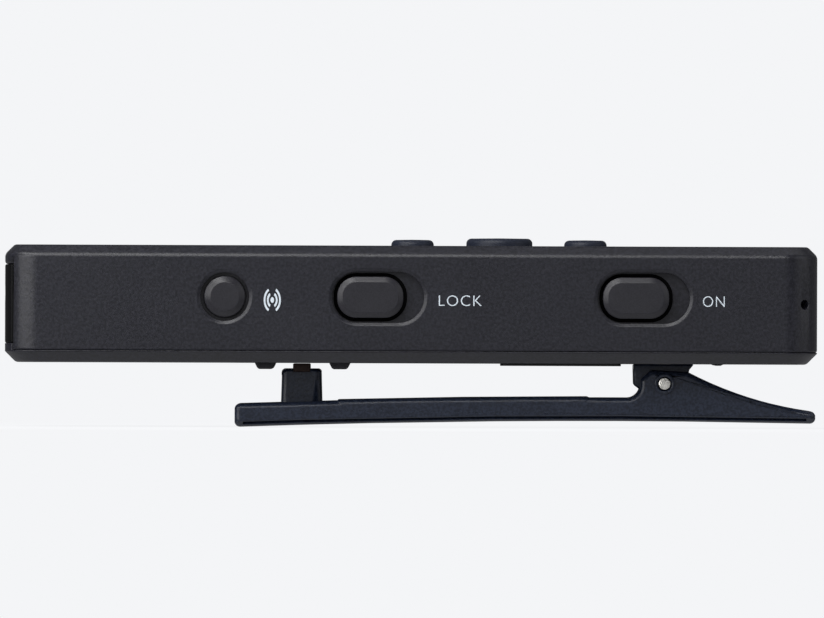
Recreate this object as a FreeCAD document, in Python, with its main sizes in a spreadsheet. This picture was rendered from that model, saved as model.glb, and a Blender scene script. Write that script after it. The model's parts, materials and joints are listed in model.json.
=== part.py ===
import FreeCAD, Part
import math
import os
import Sketcher
from FreeCAD import Placement, Rotation, Vector

# A clip-on wireless microphone body unit, in millimetres.
# X runs along the housing, the switches are on the -Y side, and the keys face +Z.
# It stands on its clip lever: Z is 0 at the lever's lowest point.
# Inside a sub-part, heights are counted from the housing's back face.

# Driving dimensions: name, value, what it measures.
SIZES = (
    ("body_length", 73.0, "housing along X"),
    ("body_width", 24.0, "housing along Y"),
    ("body_depth", 10.57, "back face to front face"),
    ("corner_radius", 3.0, "corners of the housing seen from the front"),
    ("wall", 1.3, "side and end walls"),
    ("front_wall", 1.2, "wall under the keys"),
    ("cover_wall", 1.08, "back cover"),
    ("front_chamfer", 0.87, "bevel round the front face"),
    ("back_chamfer", 0.98, "bevel round the back face"),
    ("seat_gap", 0.1, "clearance where a fixed piece drops in"),
    ("slip_gap", 0.1, "clearance round a sliding piece"),
    ("face_gap", 0.05, "clearance between flat faces that slide or lift"),
    ("run_out", 1.0, "how far a cut runs on past the face it opens"),
    ("lip_rise", 1.0, "cover lip inside the housing"),
    ("lip_thick", 0.8, "cover lip"),
    ("lip_inset", 6.5, "ends of the long lips from the housing's ends"),
    ("cap_inset", 1.15, "ends of the end cap from the side faces"),
    ("cap_low", 1.7, "lower edge of the end cap"),
    ("cap_drop", 1.77, "upper edge of the end cap below the front face"),
    ("cap_flange", 0.8, "inner flange of the end cap"),
    ("cap_flange_lap", 0.4, "flange beyond the end cap, up and down"),
    ("button_x", -16.74, "side button"),
    ("button_height", 5.95, "side button"),
    ("button_recess_radius", 2.2, "recess round the side button"),
    ("button_recess_depth", 0.9, "recess round the side button"),
    ("button_radius", 1.85, "side button"),
    ("button_bevel", 0.55, "bevel of the side button"),
    ("button_proud", 0.2, "side button over the side face"),
    ("button_flange_lap", 0.4, "inner flange beyond the side button"),
    ("button_flange", 0.5, "inner flange of the side button"),
    ("button_stem_radius", 0.8, "stem of the side button"),
    ("button_stem_length", 0.35, "stem beyond the inner flange"),
    ("button_travel", 0.3, "press of the side button"),
    ("hold_x", -2.97, "middle of the left slide's recess"),
    ("power_inset", 15.6, "middle of the right slide from the housing's right end"),
    ("slide_height", 5.93, "both slides"),
    ("recess_length", 8.3, "recess of a slide"),
    ("recess_width", 4.6, "recess of a slide"),
    ("recess_depth", 0.9, "recess of a slide"),
    ("knob_length", 5.95, "slide knob"),
    ("knob_width", 3.7, "slide knob"),
    ("knob_corner", 1.5, "corners of a slide knob"),
    ("knob_bevel", 0.5, "bevel of a slide knob"),
    ("knob_proud", 0.4, "slide knob over the side face"),
    ("slide_travel", 1.4, "slide knob"),
    ("stem_length", 1.6, "stem of a slide knob"),
    ("stem_width", 2.2, "stem of a slide knob"),
    ("stem_reach", 1.85, "stem's inner end, from the side face"),
    ("barb", 0.3, "barbs that hold a slide knob in its slot"),
    ("barb_thick", 0.4, "barbs that hold a slide knob in its slot"),
    ("actuator_length", 0.8, "stub of a slide switch"),
    ("actuator_width", 1.2, "stub of a slide switch"),
    ("actuator_reach", 1.0, "stub inside the switch, and inside the knob"),
    ("slide_switch_gap", 0.15, "between a knob's stem and its switch"),
    ("slide_switch_length", 6.6, "slide switch"),
    ("slide_switch_depth", 2.8, "slide switch"),
    ("slide_switch_height", 2.6, "slide switch"),
    ("pair_switch_length", 3.6, "switch behind the side button"),
    ("pair_switch_depth", 2.6, "switch behind the side button"),
    ("pair_switch_height", 2.7, "switch behind the side button"),
    ("plunger_radius", 0.7, "plungers of the press switches"),
    ("plunger_show", 0.5, "plunger outside its switch"),
    ("plunger_reach", 0.6, "plunger inside its switch"),
    ("previous_x", 0.11, "left key"),
    ("play_x", 7.94, "middle key"),
    ("next_x", 15.7, "right key"),
    ("side_key_radius", 1.92, "left and right keys"),
    ("play_key_radius", 2.98, "middle key"),
    ("side_key_rise", 0.57, "left and right keys over the front face"),
    ("play_key_rise", 0.72, "middle key over the front face"),
    ("key_gap", 0.15, "clearance round a key"),
    ("key_bevel", 0.35, "rounded rim of a key"),
    ("key_flange_lap", 0.45, "inner flange beyond a key"),
    ("key_flange", 0.5, "inner flange of a key"),
    ("key_stem_radius", 0.8, "stem of a key"),
    ("key_travel", 0.3, "press of a key"),
    ("key_switch_side", 3.0, "switch under a key"),
    ("key_switch_height", 1.6, "switch under a key"),
    ("board_rise", 3.8, "underside of the board"),
    ("board_thick", 0.8, "board"),
    ("board_gap", 0.3, "clearance round the board"),
    ("board_right_gap", 6.3, "right edge of the board from the housing's right end"),
    ("jack_y", 5.2, "axis of the jack"),
    ("jack_bore_radius", 1.8, "jack, for a 3.5 mm plug"),
    ("jack_bore_length", 12.9, "jack"),
    ("jack_snout_radius", 2.5, "jack in the end cap"),
    ("jack_width", 6.2, "jack housing"),
    ("jack_depth", 5.8, "jack housing"),
    ("jack_end_wall", 1.0, "closed end of the jack"),
    ("jack_ring_radius", 2.95, "ring round the jack's mouth"),
    ("jack_ring_length", 1.5, "ring round the jack's mouth"),
    ("charging_y", -4.6, "charging socket"),
    ("charging_width", 8.94, "charging socket's shell"),
    ("charging_depth", 3.26, "charging socket's shell"),
    ("charging_length", 7.3, "charging socket's shell"),
    ("charging_wall", 0.3, "charging socket's shell"),
    ("tongue_width", 6.65, "contact tongue"),
    ("tongue_thick", 0.7, "contact tongue"),
    ("tongue_length", 4.9, "contact tongue"),
    ("tongue_base", 1.4, "block behind the contact tongue"),
    ("battery_left_gap", 1.3, "between the jack and the battery"),
    ("battery_right_gap", 1.44, "between the battery and the left key's flange"),
    ("battery_side_gap", 0.5, "long sides of the battery"),
    ("foam_thick", 0.6, "foam over the battery"),
    ("battery_corner", 0.8, "battery"),
    ("battery_pad_length", 12.0, "foam over the battery"),
    ("battery_pad_width", 9.0, "foam over the battery"),
    ("shield_x", 9.5, "screening can"),
    ("shield_y", 4.0, "screening can"),
    ("shield_length", 12.0, "screening can"),
    ("shield_width", 9.0, "screening can"),
    ("shield_depth", 1.5, "screening can"),
    ("antenna_inset_x", 9.2, "antenna from the board's right edge"),
    ("antenna_inset_y", 2.3, "antenna from the side wall"),
    ("antenna_length", 7.0, "antenna"),
    ("antenna_width", 2.0, "antenna"),
    ("antenna_depth", 1.2, "antenna"),
    ("light_x", 22.5, "status light"),
    ("light_radius", 0.6, "light guide"),
    ("light_flange_lap", 0.4, "light guide's flange"),
    ("light_flange", 0.4, "light guide's flange"),
    ("lamp_length", 1.6, "lamp under the light guide"),
    ("lamp_width", 0.8, "lamp under the light guide"),
    ("lamp_depth", 0.4, "lamp under the light guide"),
    ("port_angle", 39.3, "microphone port, turned from -Y towards +X"),
    ("port_height", 5.4, "microphone port"),
    ("port_radius", 0.425, "microphone port"),
    ("capsule_radius", 1.5, "microphone capsule"),
    ("capsule_depth", 1.3, "microphone capsule"),
    ("boot_wall", 0.5, "rubber boot round the capsule"),
    ("boot_front", 0.2, "front of the boot, from the corner's centre"),
    ("snout_radius", 0.9, "boot at the port"),
    ("mesh_radius", 0.8, "cloth disc at the port"),
    ("mesh_thick", 0.08, "cloth disc at the port"),
    ("screw_end_inset", 8.9, "cover screws from the housing's right end"),
    ("screw_side_inset", 3.6, "cover screws from the side faces"),
    ("screw_head_radius", 0.8, "cover screws"),
    ("screw_crown", 0.12, "screw head over the back face"),
    ("screw_crown_radius", 0.25, "flat middle of the crowned head"),
    ("screw_crown_fall", 0.25, "slope of the crowned head"),
    ("screw_head_depth", 0.8, "screw head's underside"),
    ("screw_shank_radius", 0.6, "cover screws"),
    ("screw_tip_gap", 1.9, "tip of the screws below the front wall"),
    ("post_radius", 1.8, "posts and bosses"),
    ("post_end_inset", 17.0, "plain posts from the housing's left end"),
    ("post_side_inset", 3.2, "plain posts from the side faces"),
    ("rib_x", -9.75, "middle between the two gripping ribs"),
    ("rib_pitch", 6.7, "gripping ribs"),
    ("rib_base", 1.9, "gripping ribs"),
    ("rib_tip", 1.35, "gripping ribs"),
    ("rib_rise", 0.56, "gripping ribs"),
    ("rib_length", 14.0, "gripping ribs along Y"),
    ("rear_plate_x", 13.48, "thin raised plate"),
    ("rear_plate_length", 10.85, "thin raised plate"),
    ("rear_plate_width", 11.0, "thin raised plate"),
    ("rear_plate_thick", 0.2, "thin raised plate"),
    ("rear_plate_corner", 0.56, "corners of the thin raised plate"),
    ("pin_x", 22.82, "hinge pin"),
    ("pin_drop", 1.76, "hinge pin below the back face"),
    ("pin_radius", 0.5, "hinge pin"),
    ("pin_fit", 0.05, "clearance of the hinge pin"),
    ("pin_end_bevel", 0.05, "ends of the hinge pin"),
    ("base_length", 5.46, "bracket along X at the back face"),
    ("base_left", 2.8, "bracket's left edge from the pin"),
    ("base_plate", 0.5, "bracket's plate"),
    ("lug_thick", 1.0, "bracket's lugs"),
    ("lug_drop", 2.75, "bracket's lugs below the back face"),
    ("lug_gap", 0.2, "between the lugs and the lever"),
    ("lug_lean", 0.05, "slant of the lugs' left edge"),
    ("lug_knee", 0.1, "corner of the lugs' left edge below the pin"),
    ("lug_foot_left", 1.56, "lowest edge of the lugs, left of the pin"),
    ("lug_foot_right", 1.41, "lowest edge of the lugs, right of the pin"),
    ("lug_shoulder", 0.66, "lugs' right corner beside the pin, in from the plate's end"),
    ("plate_shoulder", 0.42, "lugs' right corner under the plate, in from its end"),
    ("rivet_y", 3.7, "rivets of the bracket"),
    ("rivet_radius", 0.5, "rivets of the bracket"),
    ("rivet_head_radius", 0.9, "rivets of the bracket"),
    ("rivet_head", 0.3, "rivets of the bracket"),
    ("lever_left", -15.85, "lever's left end"),
    ("lever_right", 36.39, "lever's right tip"),
    ("lever_width", 15.0, "lever along Y"),
    ("flange_thick", 1.2, "lever's side flanges"),
    ("web_thick", 1.0, "lever's web"),
    ("flange_rise", 2.1, "flange over the outer face"),
    ("flange_step", 0.1, "raised stretch of the flange"),
    ("step_left", -6.66, "raised stretch of the flange"),
    ("step_right", 16.08, "raised stretch of the flange"),
    ("bow_radius", 900.0, "outer face of the lever, arched along X"),
    ("crown_x", 18.3, "top of the arch"),
    ("crown_drop", 5.13, "outer face below the back face at the top of the arch"),
    ("lever_end_round", 0.5, "ends of the lever"),
    ("lever_bevel", 0.55, "long edges of the outer face"),
    ("tip_thick", 1.07, "thumb end of the lever"),
    ("thumb_radius", 34.0, "hollow of the thumb end, seen from the side"),
    ("channel_right", 33.6, "closed end of the lever's channel"),
    ("ear_left", 21.6, "ear's top"),
    ("ear_right", 24.9, "ear's top"),
    ("ear_top", 0.52, "ear's top below the back face"),
    ("ear_right_drop", 0.68, "right end of the ear's top"),
    ("ear_foot", 20.64, "ear's left edge"),
    ("ear_shoulder", 1.4, "shoulder of the ear's left edge"),
    ("ear_fillet", 1.15, "hollow between flange and ear"),
    ("collar_radius", 0.9, "collar round the pin"),
    ("collar_rise", 0.1, "collar round the pin"),
    ("countersink_radius", 0.62, "mouth of the pin hole"),
    ("countersink_depth", 0.25, "mouth of the pin hole"),
    ("jaw_x", -9.83, "jaw block"),
    ("jaw_base", 3.8, "jaw block at the web"),
    ("jaw_top", 3.55, "jaw block at its top"),
    ("jaw_drop", 0.5, "jaw block's top below the back face"),
    ("jaw_width", 10.0, "jaw block along Y"),
    ("jaw_round", 0.3, "top edges of the jaw block"),
    ("pad_length", 1.57, "jaw pad along X"),
    ("pad_sink", 0.3, "jaw pad in its groove"),
    ("spring_radius", 0.95, "middle of the spring's wire"),
    ("spring_wire", 0.36, "spring wire"),
    ("spring_pitch", 0.85, "spring's turns"),
    ("spring_turns", 4, "whole turns of the spring"),
    ("spring_leg", 2.0, "spring's short leg"),
    ("spring_arm", 6.0, "spring's long leg"),
    ("spring_arm_slope", 9.0, "long leg below level, in degrees"),
)

# Derived places, counted from the back face unless named otherwise.
PLACES = (
    ("lift", "Sizes.crown_drop + Sizes.bow_radius - sqrt(Sizes.bow_radius ^ 2"
             " - (Sizes.crown_x - Sizes.lever_left - Sizes.lever_end_round) ^ 2)"),
    ("left_end", "-Sizes.body_length / 2"),
    ("side_face", "-Sizes.body_width / 2"),
    ("inside_left", "left_end + Sizes.wall"),
    ("inside_half_width", "Sizes.body_width / 2 - Sizes.wall"),
    ("front_inside", "Sizes.body_depth - Sizes.front_wall"),
    ("lip_length", "Sizes.body_length - 2 * Sizes.lip_inset"),
    ("cap_width", "Sizes.body_width - 2 * Sizes.cap_inset"),
    ("cap_high", "Sizes.body_depth - Sizes.cap_drop"),
    ("jack_height", "(Sizes.cap_low + cap_high) / 2"),
    ("jack_end", "left_end + Sizes.jack_bore_length + Sizes.jack_end_wall"),
    ("board_top", "Sizes.board_rise + Sizes.board_thick"),
    ("board_left", "inside_left + Sizes.cap_flange + Sizes.board_gap"),
    ("board_right", "Sizes.body_length / 2 - Sizes.board_right_gap"),
    ("power_x", "Sizes.body_length / 2 - Sizes.power_inset"),
    ("screw_x", "Sizes.body_length / 2 - Sizes.screw_end_inset"),
    ("screw_y", "Sizes.body_width / 2 - Sizes.screw_side_inset"),
    ("screw_tip", "front_inside - Sizes.screw_tip_gap"),
    ("post_x", "left_end + Sizes.post_end_inset"),
    ("post_y", "Sizes.body_width / 2 - Sizes.post_side_inset"),
    ("antenna_x", "board_right - Sizes.antenna_inset_x"),
    ("antenna_y", "inside_half_width - Sizes.antenna_inset_y"),
    ("corner_x", "Sizes.body_length / 2 - Sizes.corner_radius"),
    ("corner_y", "Sizes.corner_radius - Sizes.body_width / 2"),
    ("charging_height", "board_top + Sizes.charging_depth / 2"),
    ("lever_inside", "Sizes.lever_width - 2 * Sizes.flange_thick"),
    ("base_width", "lever_inside - 2 * Sizes.lug_gap"),
    ("slide_switch_y", "side_face + Sizes.stem_reach + Sizes.slide_switch_gap"),
    ("button_flange_y", "Sizes.wall + Sizes.face_gap"),
    ("button_stem_end", "button_flange_y + Sizes.button_flange + Sizes.button_stem_length"),
    ("key_stem_end", "board_top + Sizes.key_switch_height + Sizes.plunger_show"),
    ("battery_left", "jack_end + Sizes.battery_left_gap"),
    ("battery_length", "Sizes.previous_x - Sizes.side_key_radius - Sizes.key_flange_lap"
                       " - Sizes.battery_right_gap - battery_left"),
    ("battery_x", "battery_left + battery_length / 2"),
    ("battery_near", "side_face + button_stem_end + Sizes.plunger_show"
                     " + Sizes.pair_switch_depth + Sizes.battery_side_gap"),
    ("battery_width", "inside_half_width - Sizes.battery_side_gap - battery_near"),
    ("battery_y", "battery_near + battery_width / 2"),
    ("battery_depth", "front_inside - board_top - Sizes.foam_thick"),
)

# Front keys: name, place along X and radius.
KEYS = (
    ("previous", "Sizes.previous_x", "Sizes.side_key_radius"),
    ("play", "Sizes.play_x", "Sizes.play_key_radius"),
    ("next", "Sizes.next_x", "Sizes.side_key_radius"),
)
RIVET_X = "(Sizes.pin_x - Sizes.base_left + Sizes.base_length / 2)"
SPRING_SAMPLES = 600
SPRING_SIDES = 8

doc = FreeCAD.newDocument("ClipMicrophone")


def make_sheet():
    """Put the driving dimensions into the spreadsheet, one named cell each."""
    sheet = doc.addObject("Spreadsheet::Sheet", "Sizes")
    for row, (name, value, note) in enumerate(SIZES, start=1):
        sheet.set(f"A{row}", name)
        sheet.set(f"B{row}", str(value))
        sheet.set(f"C{row}", note)
        sheet.setAlias(f"B{row}", name)
    doc.recompute()


def make_places():
    """Work the derived places out from the sheet."""
    places = doc.addObject("App::VarSet", "Places")
    for name, formula in PLACES:
        places.addProperty("App::PropertyFloat", name)
        places.setExpression(name, formula)
    doc.recompute()


def number(formula):
    """The value of a formula, read back through a property bound to it."""
    probe.setExpression("value", formula)
    probe.recompute()
    return probe.value


def start_body(label, x="0", y="0", z="0"):
    """A new body whose own origin is at x, y and a height over the back face."""
    body = doc.addObject("PartDesign::Body", label)
    body.Label = label
    body.setExpression("Placement.Base.x", x)
    body.setExpression("Placement.Base.y", y)
    body.setExpression("Placement.Base.z", f"Places.lift + {z}")
    return body


def sketch_on(body, name, role, x="0", y="0", height="0"):
    """A sketch on one of the body's own planes, moved in the plane and off it."""
    plane = next(item for item in body.Origin.OriginFeatures if item.Role == role)
    sketch = body.newObject("Sketcher::SketchObject", name)
    sketch.AttachmentSupport = [(plane, "")]
    sketch.MapMode = "FlatFace"
    for axis, formula in zip("xyz", (x, y, height)):
        sketch.setExpression(f"AttachmentOffset.Base.{axis}", formula)
    return sketch


def constrain(sketch, formula, kind, *places):
    """A driving constraint bound to a formula."""
    index = sketch.addConstraint(Sketcher.Constraint(kind, *places, number(formula)))
    sketch.setExpression(f"Constraints[{index}]", formula)


def draw_circle(sketch, radius):
    """A circle about the sketch's origin."""
    sketch.addGeometry(Part.Circle(Vector(), Vector(0, 0, 1), number(radius)))
    sketch.addConstraint(Sketcher.Constraint("Coincident", 0, 3, -1, 1))
    constrain(sketch, radius, "Radius", 0)


def draw_rounded_rectangle(sketch, length, width, radius):
    """A rectangle with four round corners, centred on the sketch's origin."""
    reach_x = number(length) / 2
    reach_y = number(width) / 2
    bend = number(radius)
    for turn in range(4):
        way = Rotation(Vector(0, 0, 1), 90 * turn)
        near, far = (reach_x, reach_y) if turn % 2 == 0 else (reach_y, reach_x)
        start = way.multVec(Vector(near, bend - far, 0))
        end = way.multVec(Vector(near, far - bend, 0))
        centre = way.multVec(Vector(near - bend, far - bend, 0))
        sketch.addGeometry(Part.LineSegment(start, end))
        circle = Part.Circle(centre, Vector(0, 0, 1), bend)
        first = math.radians(90 * turn)
        sketch.addGeometry(Part.ArcOfCircle(circle, first, first + math.pi / 2))
    for side in range(4):
        line, arc, following = 2 * side, 2 * side + 1, (2 * side + 2) % 8
        sketch.addConstraint(Sketcher.Constraint("Tangent", line, 2, arc, 1))
        sketch.addConstraint(Sketcher.Constraint("Tangent", arc, 2, following, 1))
        upright = "Vertical" if side % 2 == 0 else "Horizontal"
        sketch.addConstraint(Sketcher.Constraint(upright, line))
    for side in range(3):
        sketch.addConstraint(Sketcher.Constraint("Equal", 2 * side + 1, 2 * side + 3))
    sketch.addConstraint(Sketcher.Constraint("Symmetric", 1, 3, 5, 3, -1, 1))
    constrain(sketch, radius, "Radius", 1)
    constrain(sketch, f"{length} - 2 * ({radius})", "DistanceX", 3, 3, 1, 3)
    constrain(sketch, f"{width} - 2 * ({radius})", "DistanceY", 7, 3, 1, 3)


def draw_slot(sketch, length, width):
    """A slot with round ends along the sketch's x, centred on its origin."""
    bend = number(width) / 2
    reach = number(length) / 2 - bend
    sketch.addGeometry(Part.LineSegment(Vector(-reach, -bend, 0), Vector(reach, -bend, 0)))
    right = Part.Circle(Vector(reach, 0, 0), Vector(0, 0, 1), bend)
    sketch.addGeometry(Part.ArcOfCircle(right, -math.pi / 2, math.pi / 2))
    sketch.addGeometry(Part.LineSegment(Vector(reach, bend, 0), Vector(-reach, bend, 0)))
    left = Part.Circle(Vector(-reach, 0, 0), Vector(0, 0, 1), bend)
    sketch.addGeometry(Part.ArcOfCircle(left, math.pi / 2, 3 * math.pi / 2))
    for piece in range(4):
        sketch.addConstraint(Sketcher.Constraint("Tangent", piece, 2, (piece + 1) % 4, 1))
    sketch.addConstraint(Sketcher.Constraint("Horizontal", 0))
    sketch.addConstraint(Sketcher.Constraint("Equal", 1, 3))
    sketch.addConstraint(Sketcher.Constraint("Symmetric", 1, 3, 3, 3, -1, 1))
    constrain(sketch, f"({width}) / 2", "Radius", 1)
    constrain(sketch, f"{length} - ({width})", "DistanceX", 3, 3, 1, 3)


def round_stretch(start, end, bend):
    """The short arc between two points, counterclockwise, and which of its ends is the start.

    A positive radius bows to the right of the way from start to end.
    """
    chord = end - start
    half = chord.Length / 2
    side = Vector(-chord.y, chord.x, 0).normalize()
    centre = start + chord * 0.5 + side * math.copysign(math.sqrt(bend * bend - half * half), bend)
    first, last = (start, end) if bend > 0 else (end, start)
    turns = [math.atan2(spot.y - centre.y, spot.x - centre.x) for spot in (first, last)]
    if turns[1] < turns[0]:
        turns[1] += 2 * math.pi
    arc = Part.ArcOfCircle(Part.Circle(centre, Vector(0, 0, 1), abs(bend)), *turns)
    return arc, 1 if bend > 0 else 2


def draw_outline(sketch, points):
    """A closed outline. Each point is x, y and the radius of the arc that leaves it, or None.

    A positive radius bows to the right of the way that the outline runs.
    """
    spots = [Vector(number(x), number(y), 0) for x, y, bend in points]
    starts = []
    for index, (x, y, bend) in enumerate(points):
        start, end = spots[index], spots[(index + 1) % len(spots)]
        if bend is None:
            piece, first_end = Part.LineSegment(start, end), 1
        else:
            piece, first_end = round_stretch(start, end, number(bend))
        sketch.addGeometry(piece)
        starts.append(first_end)
    for index, (x, y, bend) in enumerate(points):
        following = (index + 1) % len(points)
        sketch.addConstraint(Sketcher.Constraint(
            "Coincident", index, 3 - starts[index], following, starts[following]))
        constrain(sketch, x, "DistanceX", -1, 1, index, starts[index])
        constrain(sketch, y, "DistanceY", -1, 1, index, starts[index])
        if bend is not None:
            constrain(sketch, f"abs({bend})", "Radius", index)


def pad(body, sketch, length, symmetric=False, reverse=False):
    """Raise a sketch along its normal."""
    feature = body.newObject("PartDesign::Pad", f"{sketch.Name}Pad")
    feature.Profile = sketch
    feature.SideType = "Symmetric" if symmetric else "One side"
    feature.Reversed = reverse
    feature.setExpression("Length", length)
    doc.recompute()
    return feature


def pocket(body, sketch, length, symmetric=False, reverse=False):
    """Cut a sketch into the body, against its normal unless reversed."""
    before = body.Shape.Volume
    feature = body.newObject("PartDesign::Pocket", f"{sketch.Name}Cut")
    feature.Profile = sketch
    feature.SideType = "Symmetric" if symmetric else "One side"
    feature.Reversed = reverse
    feature.setExpression("Length", length)
    doc.recompute()
    if body.Shape.Volume >= before:
        raise RuntimeError(f"{feature.Name} cuts nothing")
    return feature


def revolve(body, sketch, direction="V_Axis"):
    """Turn a half section about one of the sketch's own axes."""
    feature = body.newObject("PartDesign::Revolution", f"{sketch.Name}Turn")
    feature.Profile = sketch
    feature.ReferenceAxis = (sketch, [direction])
    feature.Angle = 360
    doc.recompute()
    return feature


def place_primitive(feature, spot, sizes):
    """Bind a primitive's corner or centre and its sizes."""
    for name, formula in sizes.items():
        feature.setExpression(name, formula)
    for axis, formula in zip("xyz", spot):
        feature.setExpression(f"Placement.Base.{axis}", formula)
    doc.recompute()


def block(body, name, low, sizes, cut=False):
    """A box from its low corner, added or cut."""
    before = body.Shape.Volume if cut else 0
    kind = "Subtractive" if cut else "Additive"
    feature = body.newObject(f"PartDesign::{kind}Box", name)
    place_primitive(feature, low, dict(zip(("Length", "Width", "Height"), sizes)))
    if cut and body.Shape.Volume >= before:
        raise RuntimeError(f"{name} cuts nothing")
    return feature


AXIS_TURNS = {
    "X": Rotation(Vector(0, 1, 0), 90),
    "Y": Rotation(Vector(1, 0, 0), -90),
    "Z": Rotation(),
}


def rod(body, name, start, radius, length, axis="Z", cut=False):
    """A cylinder from the middle of its low end, added or cut."""
    before = body.Shape.Volume if cut else 0
    kind = "Subtractive" if cut else "Additive"
    feature = body.newObject(f"PartDesign::{kind}Cylinder", name)
    feature.Placement = Placement(Vector(), AXIS_TURNS[axis])
    place_primitive(feature, start, {"Radius": radius, "Height": length})
    if cut and body.Shape.Volume >= before:
        raise RuntimeError(f"{name} cuts nothing")
    return feature


def edges_where(feature, test, longer=0):
    """The names of the edges, over a length, whose ends and middle all pass a test."""
    names = []
    for index, edge in enumerate(feature.Shape.Edges, start=1):
        first, last = edge.ParameterRange
        spots = [edge.valueAt(first + (last - first) * share) for share in (0, 0.5, 1)]
        if edge.Length > longer and all(test(spot) for spot in spots):
            names.append(f"Edge{index}")
    return names


def near(value, target):
    """Whether two lengths agree to a thousandth."""
    return abs(value - target) < 1e-3


def bevel(body, feature, test, size, longer=0):
    """Chamfer the edges of a feature that pass a test."""
    chamfer = body.newObject("PartDesign::Chamfer", f"{feature.Name}Bevel")
    chamfer.Base = (feature, edges_where(feature, test, longer))
    chamfer.setExpression("Size", size)
    doc.recompute()
    return chamfer


def soften(body, feature, test, radius, longer=0):
    """Fillet the edges of a feature that pass a test."""
    fillet = body.newObject("PartDesign::Fillet", f"{feature.Name}Round")
    fillet.Base = (feature, edges_where(feature, test, longer))
    fillet.setExpression("Radius", radius)
    doc.recompute()
    return fillet


def make_front_housing():
    """The moulded shell: front face, side walls and every opening in them."""
    body = start_body("front_housing")
    outline = sketch_on(body, "HousingOutline", "XY_Plane", height="Sizes.cover_wall")
    draw_rounded_rectangle(outline, "Sizes.body_length", "Sizes.body_width", "Sizes.corner_radius")
    shell = pad(body, outline, "Sizes.body_depth - Sizes.cover_wall")
    top = number("Sizes.body_depth")
    bevel(body, shell, lambda spot: near(spot.z, top), "Sizes.front_chamfer")

    cavity = sketch_on(body, "Cavity", "XY_Plane", height="Sizes.cover_wall")
    draw_rounded_rectangle(
        cavity, "Sizes.body_length - 2 * Sizes.wall", "2 * Places.inside_half_width",
        "Sizes.corner_radius - Sizes.wall")
    pocket(body, cavity, "Places.front_inside - Sizes.cover_wall", reverse=True)

    for name, side in (("BossNear", "-"), ("BossFar", "")):
        spot = ("Places.screw_x", f"{side}Places.screw_y", "Places.board_top")
        rod(body, name, spot, "Sizes.post_radius", "Places.front_inside - Places.board_top")
        rod(body, f"{name}Pilot", spot, "Sizes.screw_shank_radius + Sizes.face_gap / 2",
            "Places.screw_tip + Sizes.seat_gap - Places.board_top", cut=True)

    block(body, "CapNotch",
          ("Places.left_end - Sizes.run_out", "-Places.cap_width / 2", "Sizes.cover_wall - Sizes.run_out"),
          ("Sizes.wall + Sizes.run_out", "Places.cap_width",
           "Places.cap_high - Sizes.cover_wall + Sizes.run_out"), cut=True)

    for name, middle in (("Hold", "Sizes.hold_x"), ("Power", "Places.power_x")):
        recess = sketch_on(body, f"{name}Recess", "XZ_Plane", x=middle, y="Sizes.slide_height",
                           height="-Places.side_face")
        draw_slot(recess, "Sizes.recess_length", "Sizes.recess_width")
        pocket(body, recess, "Sizes.recess_depth")
        block(body, f"{name}Slot",
              (f"{middle} - (Sizes.stem_length + Sizes.slide_travel) / 2 - Sizes.slip_gap",
               "Places.side_face",
               "Sizes.slide_height - Sizes.stem_width / 2 - Sizes.slip_gap"),
              ("Sizes.stem_length + Sizes.slide_travel + 2 * Sizes.slip_gap",
               "Sizes.wall + Sizes.run_out", "Sizes.stem_width + 2 * Sizes.slip_gap"), cut=True)

    button = ("Sizes.button_x", "Places.side_face", "Sizes.button_height")
    rod(body, "ButtonRecess", button, "Sizes.button_recess_radius", "Sizes.button_recess_depth",
        axis="Y", cut=True)
    rod(body, "ButtonHole", button, "Sizes.button_radius + Sizes.slip_gap", "Sizes.wall + Sizes.run_out",
        axis="Y", cut=True)

    for name, middle, radius in KEYS:
        rod(body, f"{name.title()}KeyHole", (middle, "0", "Places.front_inside - Sizes.run_out"),
            f"{radius} + Sizes.key_gap", "Sizes.front_wall + 2 * Sizes.run_out", cut=True)
    rod(body, "LightHole", ("Sizes.light_x", "0", "Places.front_inside - Sizes.run_out"),
        "Sizes.light_radius + Sizes.face_gap", "Sizes.front_wall + 2 * Sizes.run_out", cut=True)

    port = sketch_on(body, "Port", "XZ_Plane", x="Places.corner_x", y="Sizes.port_height",
                     height="-Places.corner_y")
    port.AttachmentOffset = Placement(
        port.AttachmentOffset.Base, Rotation(Vector(0, 1, 0), number("Sizes.port_angle")))
    port.setExpression("AttachmentOffset.Rotation.Angle", "Sizes.port_angle")
    draw_circle(port, "Sizes.port_radius")
    pocket(body, port, "Sizes.corner_radius + Sizes.run_out", reverse=True)


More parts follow.
